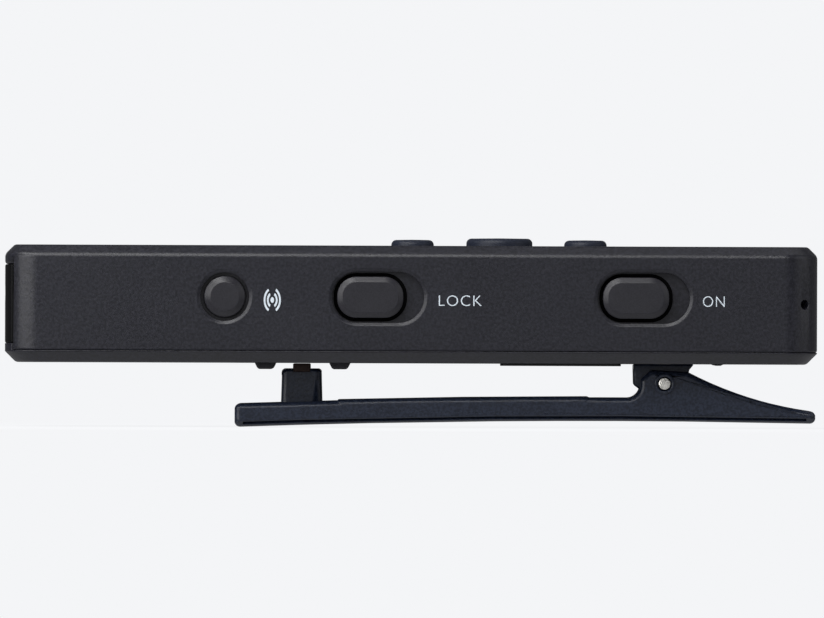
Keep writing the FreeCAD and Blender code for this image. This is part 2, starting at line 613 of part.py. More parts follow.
def make_back_cover():
    """The moulded back, with its lip, posts, end sill and gripping ribs."""
    body = start_body("back_cover")
    outline = sketch_on(body, "CoverOutline", "XY_Plane")
    draw_rounded_rectangle(outline, "Sizes.body_length", "Sizes.body_width", "Sizes.corner_radius")
    plate = pad(body, outline, "Sizes.cap_low")
    bevel(body, plate, lambda spot: near(spot.z, 0), "Sizes.back_chamfer")

    right = "2 * Sizes.body_length"
    block(body, "SillRight", ("Places.inside_left", "-Sizes.body_width", "Sizes.cover_wall"),
          (right, "2 * Sizes.body_width", "Sizes.body_depth"), cut=True)
    for name, low in (("SillNear", "-Places.cap_width / 2 + Sizes.face_gap - Sizes.body_width"),
                      ("SillFar", "Places.cap_width / 2 - Sizes.face_gap")):
        block(body, name, ("-Sizes.body_length", low, "Sizes.cover_wall"),
              (right, "Sizes.body_width", "Sizes.body_depth"), cut=True)

    lip_out = "(Places.inside_half_width - Sizes.seat_gap)"
    for name, low in (("LipNear", f"-{lip_out}"), ("LipFar", f"{lip_out} - Sizes.lip_thick")):
        block(body, name, ("-Places.lip_length / 2", low, "Sizes.cover_wall"),
              ("Places.lip_length", "Sizes.lip_thick", "Sizes.lip_rise"))
    block(body, "LipRight",
          ("-Places.inside_left - Sizes.seat_gap - Sizes.lip_thick",
           "Places.corner_y", "Sizes.cover_wall"),
          ("Sizes.lip_thick", "-2 * Places.corner_y", "Sizes.lip_rise"))

    rise = "Sizes.board_rise - Sizes.cover_wall"
    for name, side in (("Near", "-"), ("Far", "")):
        screw = ("Places.screw_x", f"{side}Places.screw_y")
        rod(body, f"Screw{name}Post", (*screw, "Sizes.cover_wall"), "Sizes.post_radius", rise)
        rod(body, f"Screw{name}Sink", (*screw, "-Sizes.run_out"),
            "Sizes.screw_head_radius + Sizes.seat_gap",
            "Sizes.screw_head_depth + Sizes.run_out", cut=True)
        rod(body, f"Screw{name}Hole", (*screw, "0"), "Sizes.screw_shank_radius + Sizes.seat_gap",
            "Sizes.board_rise", cut=True)
        block(body, f"Plain{name}Post",
              ("Places.post_x - Sizes.post_radius", f"{side}Places.post_y - Sizes.post_radius",
               "Sizes.cover_wall"), ("2 * Sizes.post_radius", "2 * Sizes.post_radius", rise))
        rod(body, f"Rivet{name}Hole", (RIVET_X, f"{side}Sizes.rivet_y", "-Sizes.run_out"),
            "Sizes.rivet_radius + Sizes.face_gap / 2", "Sizes.cover_wall + 2 * Sizes.run_out", cut=True)

    for name, side in (("Left", "-"), ("Right", "+")):
        rib = sketch_on(body, f"{name}Rib", "XZ_Plane",
                        x=f"Sizes.rib_x {side} Sizes.rib_pitch / 2")
        draw_outline(rib, (
            ("-Sizes.rib_base / 2", "0", None),
            ("-Sizes.rib_tip / 2", "-Sizes.rib_rise", None),
            ("Sizes.rib_tip / 2", "-Sizes.rib_rise", None),
            ("Sizes.rib_base / 2", "0", None),
        ))
        pad(body, rib, "Sizes.rib_length", symmetric=True)


def make_end_cap():
    """The black insert in the left end, with the mouths of both sockets."""
    body = start_body("end_cap")
    outline = sketch_on(body, "CapOutline", "XY_Plane", height="Sizes.cap_low + Sizes.face_gap")
    draw_rounded_rectangle(outline, "Sizes.body_length", "Sizes.body_width", "Sizes.corner_radius")
    pad(body, outline, "Places.cap_high - Sizes.cap_low - 2 * Sizes.face_gap")
    block(body, "CapRight", ("Places.inside_left", "-Sizes.body_width", "0"),
          ("2 * Sizes.body_length", "2 * Sizes.body_width", "Sizes.body_depth"), cut=True)
    for name, low in (("CapNear", "-Places.cap_width / 2 + Sizes.seat_gap - Sizes.body_width"),
                      ("CapFar", "Places.cap_width / 2 - Sizes.seat_gap")):
        block(body, name, ("-Sizes.body_length", low, "0"),
              ("2 * Sizes.body_length", "Sizes.body_width", "Sizes.body_depth"), cut=True)
    block(body, "CapFlange",
          ("Places.inside_left + Sizes.face_gap / 2", "Places.corner_y + Sizes.seat_gap",
           "Sizes.cap_low - Sizes.cap_flange_lap"),
          ("Sizes.cap_flange", "-2 * Places.corner_y - 2 * Sizes.seat_gap",
           "Places.cap_high - Sizes.cap_low + 2 * Sizes.cap_flange_lap"))
    block(body, "CapNeck", ("Places.inside_left - Sizes.wall / 2", "Places.corner_y + Sizes.wall",
                            "Sizes.cap_low + Sizes.wall"),
          ("Sizes.wall", "-2 * Places.corner_y - 2 * Sizes.wall",
           "Places.cap_high - Sizes.cap_low - 2 * Sizes.wall"))
    rod(body, "JackMouth", ("Places.left_end - Sizes.run_out", "Sizes.jack_y", "Places.jack_height"),
        "Sizes.jack_ring_radius + Sizes.face_gap", "Sizes.wall + Sizes.cap_flange + 2 * Sizes.run_out",
        axis="X", cut=True)
    mouth = sketch_on(body, "ChargingMouth", "YZ_Plane", x="Sizes.charging_y",
                      y="Places.charging_height", height="Places.left_end - Sizes.run_out")
    draw_slot(mouth, "Sizes.charging_width + 2 * Sizes.seat_gap",
              "Sizes.charging_depth + 2 * Sizes.seat_gap")
    pocket(body, mouth, "Sizes.wall + Sizes.cap_flange + 2 * Sizes.run_out", reverse=True)


def make_rear_plate():
    """The thin raised plate between the ribs and the bracket."""
    body = start_body("rear_plate", x="Sizes.rear_plate_x")
    outline = sketch_on(body, "RearPlateOutline", "XY_Plane")
    draw_rounded_rectangle(outline, "Sizes.rear_plate_length", "Sizes.rear_plate_width",
                           "Sizes.rear_plate_corner")
    pad(body, outline, "Sizes.rear_plate_thick", reverse=True)


def make_cover_screws():
    """Two screws with crowned heads, as one group."""
    body = start_body("cover_screws", x="Places.screw_x")
    for name, side in (("Near", "-"), ("Far", "")):
        profile = sketch_on(body, f"{name}Screw", "XZ_Plane", height=f"-({side}Places.screw_y)")
        draw_outline(profile, (
            ("0", "-Sizes.screw_crown", None),
            ("Sizes.screw_crown_radius", "-Sizes.screw_crown", None),
            ("Sizes.screw_head_radius", "Sizes.screw_crown_fall - Sizes.screw_crown", None),
            ("Sizes.screw_head_radius", "Sizes.screw_head_depth", None),
            ("Sizes.screw_shank_radius", "Sizes.screw_head_depth", None),
            ("Sizes.screw_shank_radius", "Places.screw_tip", None),
            ("0", "Places.screw_tip", None),
        ))
        revolve(body, profile)


def make_clip_base():
    """The bracket on the back: a plate with two lugs that carry the pin."""
    body = start_body("clip_base", x="Sizes.pin_x")
    lug = sketch_on(body, "LugProfile", "XZ_Plane")
    right = "Sizes.base_length - Sizes.base_left"
    draw_outline(lug, (
        ("-Sizes.base_left", "0", None),
        ("-Sizes.base_left + Sizes.lug_lean", "-Sizes.pin_drop - Sizes.lug_knee", None),
        ("-Sizes.lug_foot_left", "-Sizes.lug_drop", None),
        ("Sizes.lug_foot_right", "-Sizes.lug_drop", None),
        (f"{right} - Sizes.lug_shoulder", "-Sizes.pin_drop", None),
        (f"{right} - Sizes.plate_shoulder", "-Sizes.base_plate", None),
        (right, "0", None),
    ))
    pad(body, lug, "Places.base_width", symmetric=True)
    block(body, "BetweenLugs",
          ("-2 * Sizes.base_length", "-Places.base_width / 2 + Sizes.lug_thick",
           "-Sizes.base_plate - Sizes.body_depth"),
          ("4 * Sizes.base_length", "Places.base_width - 2 * Sizes.lug_thick",
           "Sizes.body_depth"), cut=True)
    rod(body, "LugHole", ("0", "-Sizes.body_width", "-Sizes.pin_drop"),
        "Sizes.pin_radius + Sizes.face_gap / 2", "2 * Sizes.body_width", axis="Y", cut=True)
    for name, side in (("Near", "-"), ("Far", "")):
        rod(body, f"Base{name}Hole", (f"{RIVET_X} - Sizes.pin_x", f"{side}Sizes.rivet_y", "-Sizes.run_out"),
            "Sizes.rivet_radius + Sizes.face_gap / 2", "2 * Sizes.run_out", cut=True)


def make_clip_rivets():
    """Two rivets that hold the bracket on the cover, as one group."""
    body = start_body("clip_rivets", x=RIVET_X)
    for name, side in (("Near", "-"), ("Far", "")):
        spot = ("0", f"{side}Sizes.rivet_y")
        rod(body, f"{name}Shank", (*spot, "-Sizes.base_plate - Sizes.rivet_head"),
            "Sizes.rivet_radius",
            "Sizes.base_plate + Sizes.cover_wall + 2 * Sizes.rivet_head")
        rod(body, f"{name}OuterHead", (*spot, "-Sizes.base_plate - Sizes.rivet_head"),
            "Sizes.rivet_head_radius", "Sizes.rivet_head")
        rod(body, f"{name}InnerHead", (*spot, "Sizes.cover_wall"),
            "Sizes.rivet_head_radius", "Sizes.rivet_head")


def make_clip_pin():
    """The hinge pin, flush with the collars of the lever."""
    body = start_body("clip_pin", x="Sizes.pin_x", z="-Sizes.pin_drop")
    half = "Sizes.lever_width / 2 + Sizes.collar_rise"
    section = sketch_on(body, "PinSection", "XY_Plane")
    draw_outline(section, (
        ("0", f"-({half})", None),
        ("Sizes.pin_radius - Sizes.pin_end_bevel", f"-({half})", None),
        ("Sizes.pin_radius", f"-({half}) + Sizes.pin_end_bevel", None),
        ("Sizes.pin_radius", f"{half} - Sizes.pin_end_bevel", None),
        ("Sizes.pin_radius - Sizes.pin_end_bevel", half, None),
        ("0", half, None),
    ))
    revolve(body, section)


def bow_height(x, rise):
    """The height at x of a line that keeps a rise over the lever's arched outer face."""
    reach = f"(Sizes.bow_radius + {rise})"
    return (f"-Sizes.crown_drop - Sizes.bow_radius"
            f" + sqrt({reach} ^ 2 - ({x} - Sizes.crown_x) ^ 2)")


def make_clip_lever():
    """The sprung lever: an arched channel with ears, jaw block and thumb end."""
    body = start_body("clip_lever")
    left, right = "Sizes.lever_left", "Sizes.lever_right"
    low, high = "Sizes.flange_rise", "(Sizes.flange_rise + Sizes.flange_step)"
    side = sketch_on(body, "LeverSide", "XZ_Plane")
    draw_outline(side, (
        (left, bow_height(left, "0"), "-Sizes.bow_radius"),
        (right, bow_height(right, "0"), None),
        (right, f"{bow_height(right, '0')} + Sizes.tip_thick", "-Sizes.thumb_radius"),
        ("Sizes.ear_right", "-Sizes.ear_right_drop", None),
        ("Sizes.ear_left", "-Sizes.ear_top", None),
        ("Sizes.ear_foot", "-Sizes.ear_shoulder", None),
        ("Sizes.ear_foot", bow_height("Sizes.ear_foot", low), f"Sizes.bow_radius + {low}"),
        ("Sizes.step_right", bow_height("Sizes.step_right", low), None),
        ("Sizes.step_right", bow_height("Sizes.step_right", high), f"Sizes.bow_radius + {high}"),
        ("Sizes.step_left", bow_height("Sizes.step_left", high), None),
        ("Sizes.step_left", bow_height("Sizes.step_left", low), f"Sizes.bow_radius + {low}"),
        (left, bow_height(left, low), None),
    ))
    solid = pad(body, side, "Sizes.lever_width", symmetric=True)
    half = number("Sizes.lever_width / 2")
    span = number("Sizes.lever_right - Sizes.lever_left") / 2
    middle_z = number("-Sizes.crown_drop + Sizes.web_thick / 4")
    beveled = bevel(
        body, solid, lambda spot: near(abs(spot.y), half) and spot.z < middle_z, "Sizes.lever_bevel",
        longer=span)
    left_x, right_x = number(left), number(right)
    ends = soften(body, beveled, lambda spot: near(spot.x, left_x) or near(spot.x, right_x),
                  "Sizes.lever_end_round", longer=half)
    foot_x = number("Sizes.ear_foot")
    foot_z = number(bow_height("Sizes.ear_foot", low))
    soften(body, ends, lambda spot: near(spot.x, foot_x) and near(spot.z, foot_z),
           "Sizes.ear_fillet")

    channel = sketch_on(body, "Channel", "XZ_Plane")
    web = "Sizes.web_thick"
    start, stop = "(Sizes.lever_left - Sizes.run_out)", "Sizes.channel_right"
    draw_outline(channel, (
        (start, bow_height(start, web), f"-(Sizes.bow_radius + {web})"),
        (stop, bow_height(stop, web), None),
        (stop, "Sizes.run_out", None),
        (start, "Sizes.run_out", None),
    ))
    pocket(body, channel, "Places.lever_inside", symmetric=True)

    jaw = sketch_on(body, "JawBlock", "XZ_Plane", x="Sizes.jaw_x")
    jaw_foot = f"{bow_height('Sizes.jaw_x', web)} - Sizes.web_thick / 2"
    draw_outline(jaw, (
        ("-Sizes.jaw_base / 2", jaw_foot, None),
        ("Sizes.jaw_base / 2", jaw_foot, None),
        ("Sizes.jaw_top / 2", "-Sizes.jaw_drop", None),
        ("-Sizes.jaw_top / 2", "-Sizes.jaw_drop", None),
    ))
    risen = pad(body, jaw, "Sizes.jaw_width", symmetric=True)
    jaw_top = number("-Sizes.jaw_drop")
    jaw_x, jaw_reach = number("Sizes.jaw_x"), number("Sizes.jaw_base")
    soften(body, risen, lambda spot: near(spot.z, jaw_top) and abs(spot.x - jaw_x) < jaw_reach,
           "Sizes.jaw_round")
    block(body, "PadGroove",
          ("Sizes.jaw_x - Sizes.pad_length / 2 - Sizes.face_gap / 2", "-Sizes.lever_width",
           "-Sizes.jaw_drop - Sizes.pad_sink"),
          ("Sizes.pad_length + Sizes.face_gap", "2 * Sizes.lever_width", "Sizes.run_out"), cut=True)

    for name, low_y in (("Near", "-Sizes.lever_width / 2 - Sizes.collar_rise"),
                        ("Far", "Sizes.lever_width / 2 - Sizes.collar_rise")):
        rod(body, f"Collar{name}", ("Sizes.pin_x", low_y, "-Sizes.pin_drop"),
            "Sizes.collar_radius", "2 * Sizes.collar_rise", axis="Y")
    rod(body, "PinHole", ("Sizes.pin_x", "-Sizes.body_width", "-Sizes.pin_drop"),
        "Sizes.pin_radius + Sizes.pin_fit", "2 * Sizes.body_width", axis="Y", cut=True)
    outer = "(Sizes.lever_width / 2 + Sizes.collar_rise)"
    for name, low_y in (("Near", f"-{outer} - Sizes.run_out"),
                        ("Far", f"{outer} - Sizes.countersink_depth")):
        rod(body, f"Countersink{name}", ("Sizes.pin_x", low_y, "-Sizes.pin_drop"),
            "Sizes.countersink_radius", "Sizes.countersink_depth + Sizes.run_out", axis="Y", cut=True)


def make_jaw_pad():
    """The rubber strip that grips between the ribs."""
    body = start_body("jaw_pad", x="Sizes.jaw_x")
    block(body, "PadStrip",
          ("-Sizes.pad_length / 2", "-Sizes.jaw_width / 2", "-Sizes.jaw_drop - Sizes.pad_sink"),
          ("Sizes.pad_length", "Sizes.jaw_width",
           "Sizes.jaw_drop + Sizes.pad_sink - Sizes.face_gap"))


def biarc(start, start_way, end, end_way):
    """Two arcs that leave start along start_way and reach end along end_way."""
    span = end - start
    bend = 2 * (1 - start_way.dot(end_way))
    slope = 2 * span.dot(start_way + end_way)
    reach = (math.sqrt(slope * slope + 4 * bend * span.dot(span)) - slope) / (2 * bend)
    corners = (start + start_way * reach, end - end_way * reach)
    join = (corners[0] + corners[1]) * 0.5
    arcs = []
    for first, corner, last in ((start, corners[0], join), (join, corners[1], end)):
        chord_middle = (first + last) * 0.5
        rise = corner - chord_middle
        half = (last - first).Length / 2
        sagitta = half * math.tan(math.atan2(rise.Length, half) / 2)
        middle = chord_middle + rise.normalize() * sagitta
        arcs.append(Part.Arc(first, middle, last).toShape())
    return arcs


def make_clip_spring():
    """The torsion spring: turns about the pin, a short leg under the plate, a long arm."""
    radius, wire = number("Sizes.spring_radius"), number("Sizes.spring_wire")
    pitch = number("Sizes.spring_pitch")
    first = math.pi / 2
    last = math.radians(270 - number("Sizes.spring_arm_slope")) + 2 * math.pi * (
        number("Sizes.spring_turns"))
    steps = math.ceil((last - first) / (math.pi / 2))
    rise = pitch / (2 * math.pi)
    offset = -rise * (first + last) / 2

    def spot(angle):
        return Vector(radius * math.cos(angle), offset + rise * angle, radius * math.sin(angle))

    def way(angle):
        along = Vector(-radius * math.sin(angle), rise, radius * math.cos(angle))
        return along.normalize()

    angles = [first + (last - first) * step / steps for step in range(steps + 1)]
    leg_end = spot(first) - way(first) * number("Sizes.spring_leg")
    arm_end = spot(last) + way(last) * number("Sizes.spring_arm")
    edges = [Part.LineSegment(leg_end, spot(first)).toShape()]
    for near_angle, far_angle in zip(angles, angles[1:]):
        edges += biarc(spot(near_angle), way(near_angle), spot(far_angle), way(far_angle))
    edges.append(Part.LineSegment(spot(last), arm_end).toShape())
    path = Part.Wire(edges)
    side = way(first).cross(Vector(0, 1, 0)).normalize()
    up = side.cross(way(first))
    turns = [2 * math.pi * corner / SPRING_SIDES for corner in range(SPRING_SIDES + 1)]
    section = Part.makePolygon([
        leg_end + (side * math.cos(turn) + up * math.sin(turn)) * (wire / 2) for turn in turns])
    spring = doc.addObject("Part::Feature", "clip_spring")
    spring.Label = "clip_spring"
    spring.Shape = path.makePipeShell([section], True, False)
    spring.Placement = Placement(
        Vector(number("Sizes.pin_x"), 0, number("Places.lift - Sizes.pin_drop")), Rotation())
    spots = path.discretize(SPRING_SAMPLES)
    half_turn = math.ceil(math.pi * radius * SPRING_SAMPLES / path.Length)
    gap = min((one - other).Length for index, one in enumerate(spots)
              for other in spots[index + half_turn:]) - wire
    print(f"spring: least gap to itself {gap:.2f} mm, wire volume {spring.Shape.Volume:.3f}"
          f" of {Part.Face(section).Area * path.Length:.3f} mm3")


def make_slide(name, middle):
    """A slide knob, the switch stub that it carries, and the switch on the board."""
    rest_x = f"{middle} - Sizes.slide_travel / 2"
    knob = start_body(f"{name}_knob", x=rest_x, y="Places.side_face", z="Sizes.slide_height")
    seat = "(Sizes.recess_depth - Sizes.face_gap)"
    cap = sketch_on(knob, f"{name.title()}KnobCap", "XZ_Plane", height=f"-{seat}")
    draw_rounded_rectangle(cap, "Sizes.knob_length", "Sizes.knob_width", "Sizes.knob_corner")
    raised = pad(knob, cap, f"{seat} + Sizes.knob_proud")
    top = number("-Sizes.knob_proud")
    bevel(knob, raised, lambda spot: near(spot.y, top), "Sizes.knob_bevel")
    block(knob, f"{name.title()}Stem",
          ("-Sizes.stem_length / 2", f"{seat} - Sizes.knob_proud", "-Sizes.stem_width / 2"),
          ("Sizes.stem_length", f"Sizes.stem_reach - {seat} + Sizes.knob_proud",
           "Sizes.stem_width"))
    block(knob, f"{name.title()}Barbs",
          ("-Sizes.stem_length / 2", "Sizes.wall + Sizes.face_gap",
           "-Sizes.stem_width / 2 - Sizes.barb"),
          ("Sizes.stem_length", "Sizes.barb_thick", "Sizes.stem_width + 2 * Sizes.barb"))
    block(knob, f"{name.title()}StubSeat",
          ("-Sizes.actuator_length / 2 - Sizes.slip_gap",
           "Sizes.stem_reach - Sizes.actuator_reach - Sizes.slip_gap",
           "-Sizes.actuator_width / 2 - Sizes.slip_gap"),
          ("Sizes.actuator_length + 2 * Sizes.slip_gap", "Sizes.stem_reach",
           "Sizes.actuator_width + 2 * Sizes.slip_gap"), cut=True)

    stub = start_body(f"{name}_actuator", x=rest_x, y="Places.side_face", z="Sizes.slide_height")
    block(stub, f"{name.title()}Stub",
          ("-Sizes.actuator_length / 2", "Sizes.stem_reach - Sizes.actuator_reach",
           "-Sizes.actuator_width / 2"),
          ("Sizes.actuator_length",
           "Places.slide_switch_y - Places.side_face - Sizes.stem_reach"
           " + 2 * Sizes.actuator_reach", "Sizes.actuator_width"))

    switch = start_body(f"{name}_switch", x=middle, y="Places.slide_switch_y",
                        z="Places.board_top")
    block(switch, f"{name.title()}SwitchCase", ("-Sizes.slide_switch_length / 2", "0", "0"),
          ("Sizes.slide_switch_length", "Sizes.slide_switch_depth", "Sizes.slide_switch_height"))
    block(switch, f"{name.title()}SwitchSlot",
          ("-(Sizes.actuator_length + Sizes.slide_travel) / 2 - Sizes.slip_gap", "-Sizes.run_out",
           "Sizes.slide_height - Places.board_top - Sizes.actuator_width / 2 - Sizes.slip_gap"),
          ("Sizes.actuator_length + Sizes.slide_travel + 2 * Sizes.slip_gap",
           "Sizes.actuator_reach + Sizes.run_out + 2 * Sizes.slip_gap",
           "Sizes.actuator_width + 2 * Sizes.slip_gap"), cut=True)


def make_pair_button():
    """The round side button, its switch plunger, and the switch on the board."""
    spot = {"x": "Sizes.button_x", "y": "Places.side_face", "z": "Sizes.button_height"}
    button = start_body("pair_button", **spot)
    section = sketch_on(button, "ButtonSection", "XY_Plane")
    flange_in = "Places.button_flange_y + Sizes.button_flange"
    flange_radius = "Sizes.button_radius + Sizes.button_flange_lap"
    draw_outline(section, (
        ("0", "-Sizes.button_proud", None),
        ("Sizes.button_radius - Sizes.button_bevel", "-Sizes.button_proud", None),
        ("Sizes.button_radius", "Sizes.button_bevel - Sizes.button_proud", None),
        ("Sizes.button_radius", "Places.button_flange_y", None),
        (flange_radius, "Places.button_flange_y", None),
        (flange_radius, flange_in, None),
        ("Sizes.button_stem_radius", flange_in, None),
        ("Sizes.button_stem_radius", "Places.button_stem_end", None),
        ("0", "Places.button_stem_end", None),
    ))
    revolve(button, section)

    plunger = start_body("pair_plunger", **spot)
    rod(plunger, "PairPlungerRod", ("0", "Places.button_stem_end", "0"), "Sizes.plunger_radius",
        "Sizes.plunger_show + Sizes.plunger_reach", axis="Y")

    front = "Places.button_stem_end + Sizes.plunger_show"
    switch = start_body("pair_switch", x="Sizes.button_x", y=f"Places.side_face + {front}",
                        z="Places.board_top")
    block(switch, "PairSwitchCase", ("-Sizes.pair_switch_length / 2", "0", "0"),
          ("Sizes.pair_switch_length", "Sizes.pair_switch_depth", "Sizes.pair_switch_height"))
    rod(switch, "PairSwitchHole", ("0", "-Sizes.run_out", "Sizes.button_height - Places.board_top"),
        "Sizes.plunger_radius + Sizes.slip_gap",
        "Sizes.run_out + Sizes.plunger_reach + Sizes.button_travel + Sizes.slip_gap", axis="Y", cut=True)


def make_key(name, middle, radius):
    """A front key, its switch plunger, and the switch on the board."""
    rise = "Sizes.play_key_rise" if name == "play" else "Sizes.side_key_rise"
    key = start_body(f"key_{name}", x=middle)
    section = sketch_on(key, f"{name.title()}KeySection", "XZ_Plane")
    top = f"Sizes.body_depth + {rise}"
    flange_top = "Places.front_inside - Sizes.face_gap"
    flange_low = f"{flange_top} - Sizes.key_flange"
    middle_cut = "Sizes.key_bevel * (1 - sqrt(2) / 2)"
    draw_outline(section, (
        ("0", "Places.key_stem_end", None),
        ("Sizes.key_stem_radius", "Places.key_stem_end", None),
        ("Sizes.key_stem_radius", flange_low, None),
        (f"{radius} + Sizes.key_flange_lap", flange_low, None),
        (f"{radius} + Sizes.key_flange_lap", flange_top, None),
        (radius, flange_top, None),
        (radius, f"{top} - Sizes.key_bevel", None),
        (f"{radius} - {middle_cut}", f"{top} - {middle_cut}", None),
        (f"{radius} - Sizes.key_bevel", top, None),
        ("0", top, None),
    ))
    revolve(key, section)

    plunger = start_body(f"key_plunger_{name}", x=middle, z="Places.key_stem_end")
    rod(plunger, f"{name.title()}PlungerRod",
        ("0", "0", "-Sizes.plunger_show - Sizes.plunger_reach"), "Sizes.plunger_radius",
        "Sizes.plunger_show + Sizes.plunger_reach")

    switch = start_body(f"key_switch_{name}", x=middle, z="Places.board_top")
    block(switch, f"{name.title()}SwitchCase",
          ("-Sizes.key_switch_side / 2", "-Sizes.key_switch_side / 2", "0"),
          ("Sizes.key_switch_side", "Sizes.key_switch_side", "Sizes.key_switch_height"))
    rod(switch, f"{name.title()}SwitchHole",
        ("0", "0", "Sizes.key_switch_height - Sizes.plunger_reach - Sizes.key_travel"
         " - Sizes.slip_gap"),
        "Sizes.plunger_radius + Sizes.slip_gap", "Sizes.key_switch_height", cut=True)


def make_main_board():
    """The circuit board, notched round the jack and drilled for the screws."""
    body = start_body("main_board")
    width = "2 * (Places.inside_half_width - Sizes.board_gap)"
    block(body, "BoardPlate", ("Places.board_left", f"-({width}) / 2", "Sizes.board_rise"),
          ("Places.board_right - Places.board_left", width, "Sizes.board_thick"))
    block(body, "JackNotch",
          ("Places.board_left - Sizes.run_out", "Sizes.jack_y - Sizes.jack_width / 2 - Sizes.seat_gap", "0"),
          ("Places.jack_end + Sizes.seat_gap - Places.board_left + Sizes.run_out",
           "Sizes.jack_width + 2 * Sizes.seat_gap",
           "Sizes.body_depth"), cut=True)
    slide_reach = "(Sizes.stem_length + Sizes.slide_travel) / 2"
    slide_depth = "Sizes.wall + Sizes.face_gap + Sizes.barb_thick"
    for name, middle, reach, depth in (
            ("Button", "Sizes.button_x", "Sizes.button_radius + Sizes.button_flange_lap",
             "Places.button_flange_y + Sizes.button_flange + Sizes.button_travel"),
            ("Hold", "Sizes.hold_x", slide_reach, slide_depth),
            ("Power", "Places.power_x", slide_reach, slide_depth)):
        block(body, f"{name}Notch",
              (f"{middle} - ({reach}) - Sizes.seat_gap", "-Sizes.body_width", "0"),
              (f"2 * ({reach} + Sizes.seat_gap)",
               f"Sizes.body_width / 2 + {depth} + Sizes.seat_gap", "Sizes.body_depth"), cut=True)
    for name, side in (("Near", "-"), ("Far", "")):
        rod(body, f"Board{name}Hole", ("Places.screw_x", f"{side}Places.screw_y", "0"),
            "Sizes.screw_shank_radius + Sizes.seat_gap", "Sizes.body_depth", cut=True)


def make_battery():
    """The pouch battery and the foam that presses it on the board."""
    battery = start_body("battery", x="Places.battery_x", y="Places.battery_y",
                         z="Places.board_top")
    outline = sketch_on(battery, "BatteryOutline", "XY_Plane")
    draw_rounded_rectangle(outline, "Places.battery_length", "Places.battery_width",
                           "Sizes.battery_corner")
    pad(battery, outline, "Places.battery_depth")
    foam = start_body("battery_pad", x="Places.battery_x", y="Places.battery_y",
                      z="Places.board_top + Places.battery_depth")
    block(foam, "FoamBlock", ("-Sizes.battery_pad_length / 2", "-Sizes.battery_pad_width / 2", "0"),
          ("Sizes.battery_pad_length", "Sizes.battery_pad_width",
           "Sizes.foam_thick"))


def make_radio():
    """The screening can under the board and the antenna on it."""
    shield = start_body("radio_shield", x="Sizes.shield_x", y="Sizes.shield_y",
                        z="Sizes.board_rise")
    block(shield, "ShieldCan",
          ("-Sizes.shield_length / 2", "-Sizes.shield_width / 2", "-Sizes.shield_depth"),
          ("Sizes.shield_length", "Sizes.shield_width", "Sizes.shield_depth"))
    antenna = start_body("antenna", x="Places.antenna_x", y="Places.antenna_y",
                         z="Places.board_top")
    block(antenna, "AntennaBlock",
          ("-Sizes.antenna_length / 2", "-Sizes.antenna_width / 2", "0"),
          ("Sizes.antenna_length", "Sizes.antenna_width", "Sizes.antenna_depth"))


def make_jack():
    """The 3.5 mm socket and the ring round its mouth."""
    jack = start_body("jack_socket", x="Places.left_end", y="Sizes.jack_y",
                      z="Places.jack_height")
    front = "Sizes.wall + Sizes.cap_flange + Sizes.seat_gap"
    block(jack, "JackCase", (front, "-Sizes.jack_width / 2", "-Sizes.jack_depth / 2"),
          (f"Sizes.jack_bore_length + Sizes.jack_end_wall - ({front})", "Sizes.jack_width",
           "Sizes.jack_depth"))
    rod(jack, "JackSnout", ("0", "0", "0"), "Sizes.jack_snout_radius", f"{front} + Sizes.run_out", axis="X")
    rod(jack, "JackBore", ("-Sizes.run_out", "0", "0"), "Sizes.jack_bore_radius",
        "Sizes.jack_bore_length + Sizes.run_out", axis="X", cut=True)
    ring = start_body("jack_ring", x="Places.left_end", y="Sizes.jack_y", z="Places.jack_height")
    rod(ring, "RingOutside", ("0", "0", "0"), "Sizes.jack_ring_radius", "Sizes.jack_ring_length",
        axis="X")
    rod(ring, "RingInside", ("-Sizes.run_out", "0", "0"), "Sizes.jack_snout_radius + Sizes.face_gap",
        "Sizes.jack_ring_length + 2 * Sizes.run_out", axis="X", cut=True)


def make_charging_socket():
    """The charging socket: a rounded metal shell and the tongue inside it."""
    spot = {"x": "Places.left_end + Sizes.face_gap", "y": "Sizes.charging_y",
            "z": "Places.charging_height"}
    shell = start_body("charging_shell", **spot)
    outside = sketch_on(shell, "ShellOutside", "YZ_Plane")
    draw_slot(outside, "Sizes.charging_width", "Sizes.charging_depth")
    pad(shell, outside, "Sizes.charging_length")
    inside = sketch_on(shell, "ShellInside", "YZ_Plane")
    draw_slot(inside, "Sizes.charging_width - 2 * Sizes.charging_wall",
              "Sizes.charging_depth - 2 * Sizes.charging_wall")
    pocket(shell, inside, "Sizes.charging_length", reverse=True)

    tongue = start_body("charging_tongue", **spot)
    base = sketch_on(tongue, "TongueBase", "YZ_Plane",
                     height="Sizes.charging_length - Sizes.tongue_base")
    draw_slot(base, "Sizes.charging_width - 2 * Sizes.charging_wall - Sizes.face_gap",
              "Sizes.charging_depth - 2 * Sizes.charging_wall - Sizes.face_gap")
    pad(tongue, base, "Sizes.tongue_base")
    block(tongue, "TonguePlate",
          ("Sizes.charging_length - Sizes.tongue_base - Sizes.tongue_length",
           "-Sizes.tongue_width / 2", "-Sizes.tongue_thick / 2"),
          ("Sizes.tongue_length + Sizes.tongue_base / 2", "Sizes.tongue_width",
           "Sizes.tongue_thick"))


def make_status_light():
    """The light guide in the front face and the lamp under it."""
    lamp = start_body("status_led", x="Sizes.light_x", z="Places.board_top")
    block(lamp, "LampBlock", ("-Sizes.lamp_length / 2", "-Sizes.lamp_width / 2", "0"),
          ("Sizes.lamp_length", "Sizes.lamp_width", "Sizes.lamp_depth"))
    guide = start_body("light_guide", x="Sizes.light_x")
    foot = "Places.board_top + Sizes.lamp_depth + Sizes.face_gap"
    rod(guide, "GuideRod", ("0", "0", foot), "Sizes.light_radius", f"Sizes.body_depth - ({foot})")
    rod(guide, "GuideFlange", ("0", "0", "Places.front_inside - Sizes.light_flange"),
        "Sizes.light_radius + Sizes.light_flange_lap", "Sizes.light_flange")


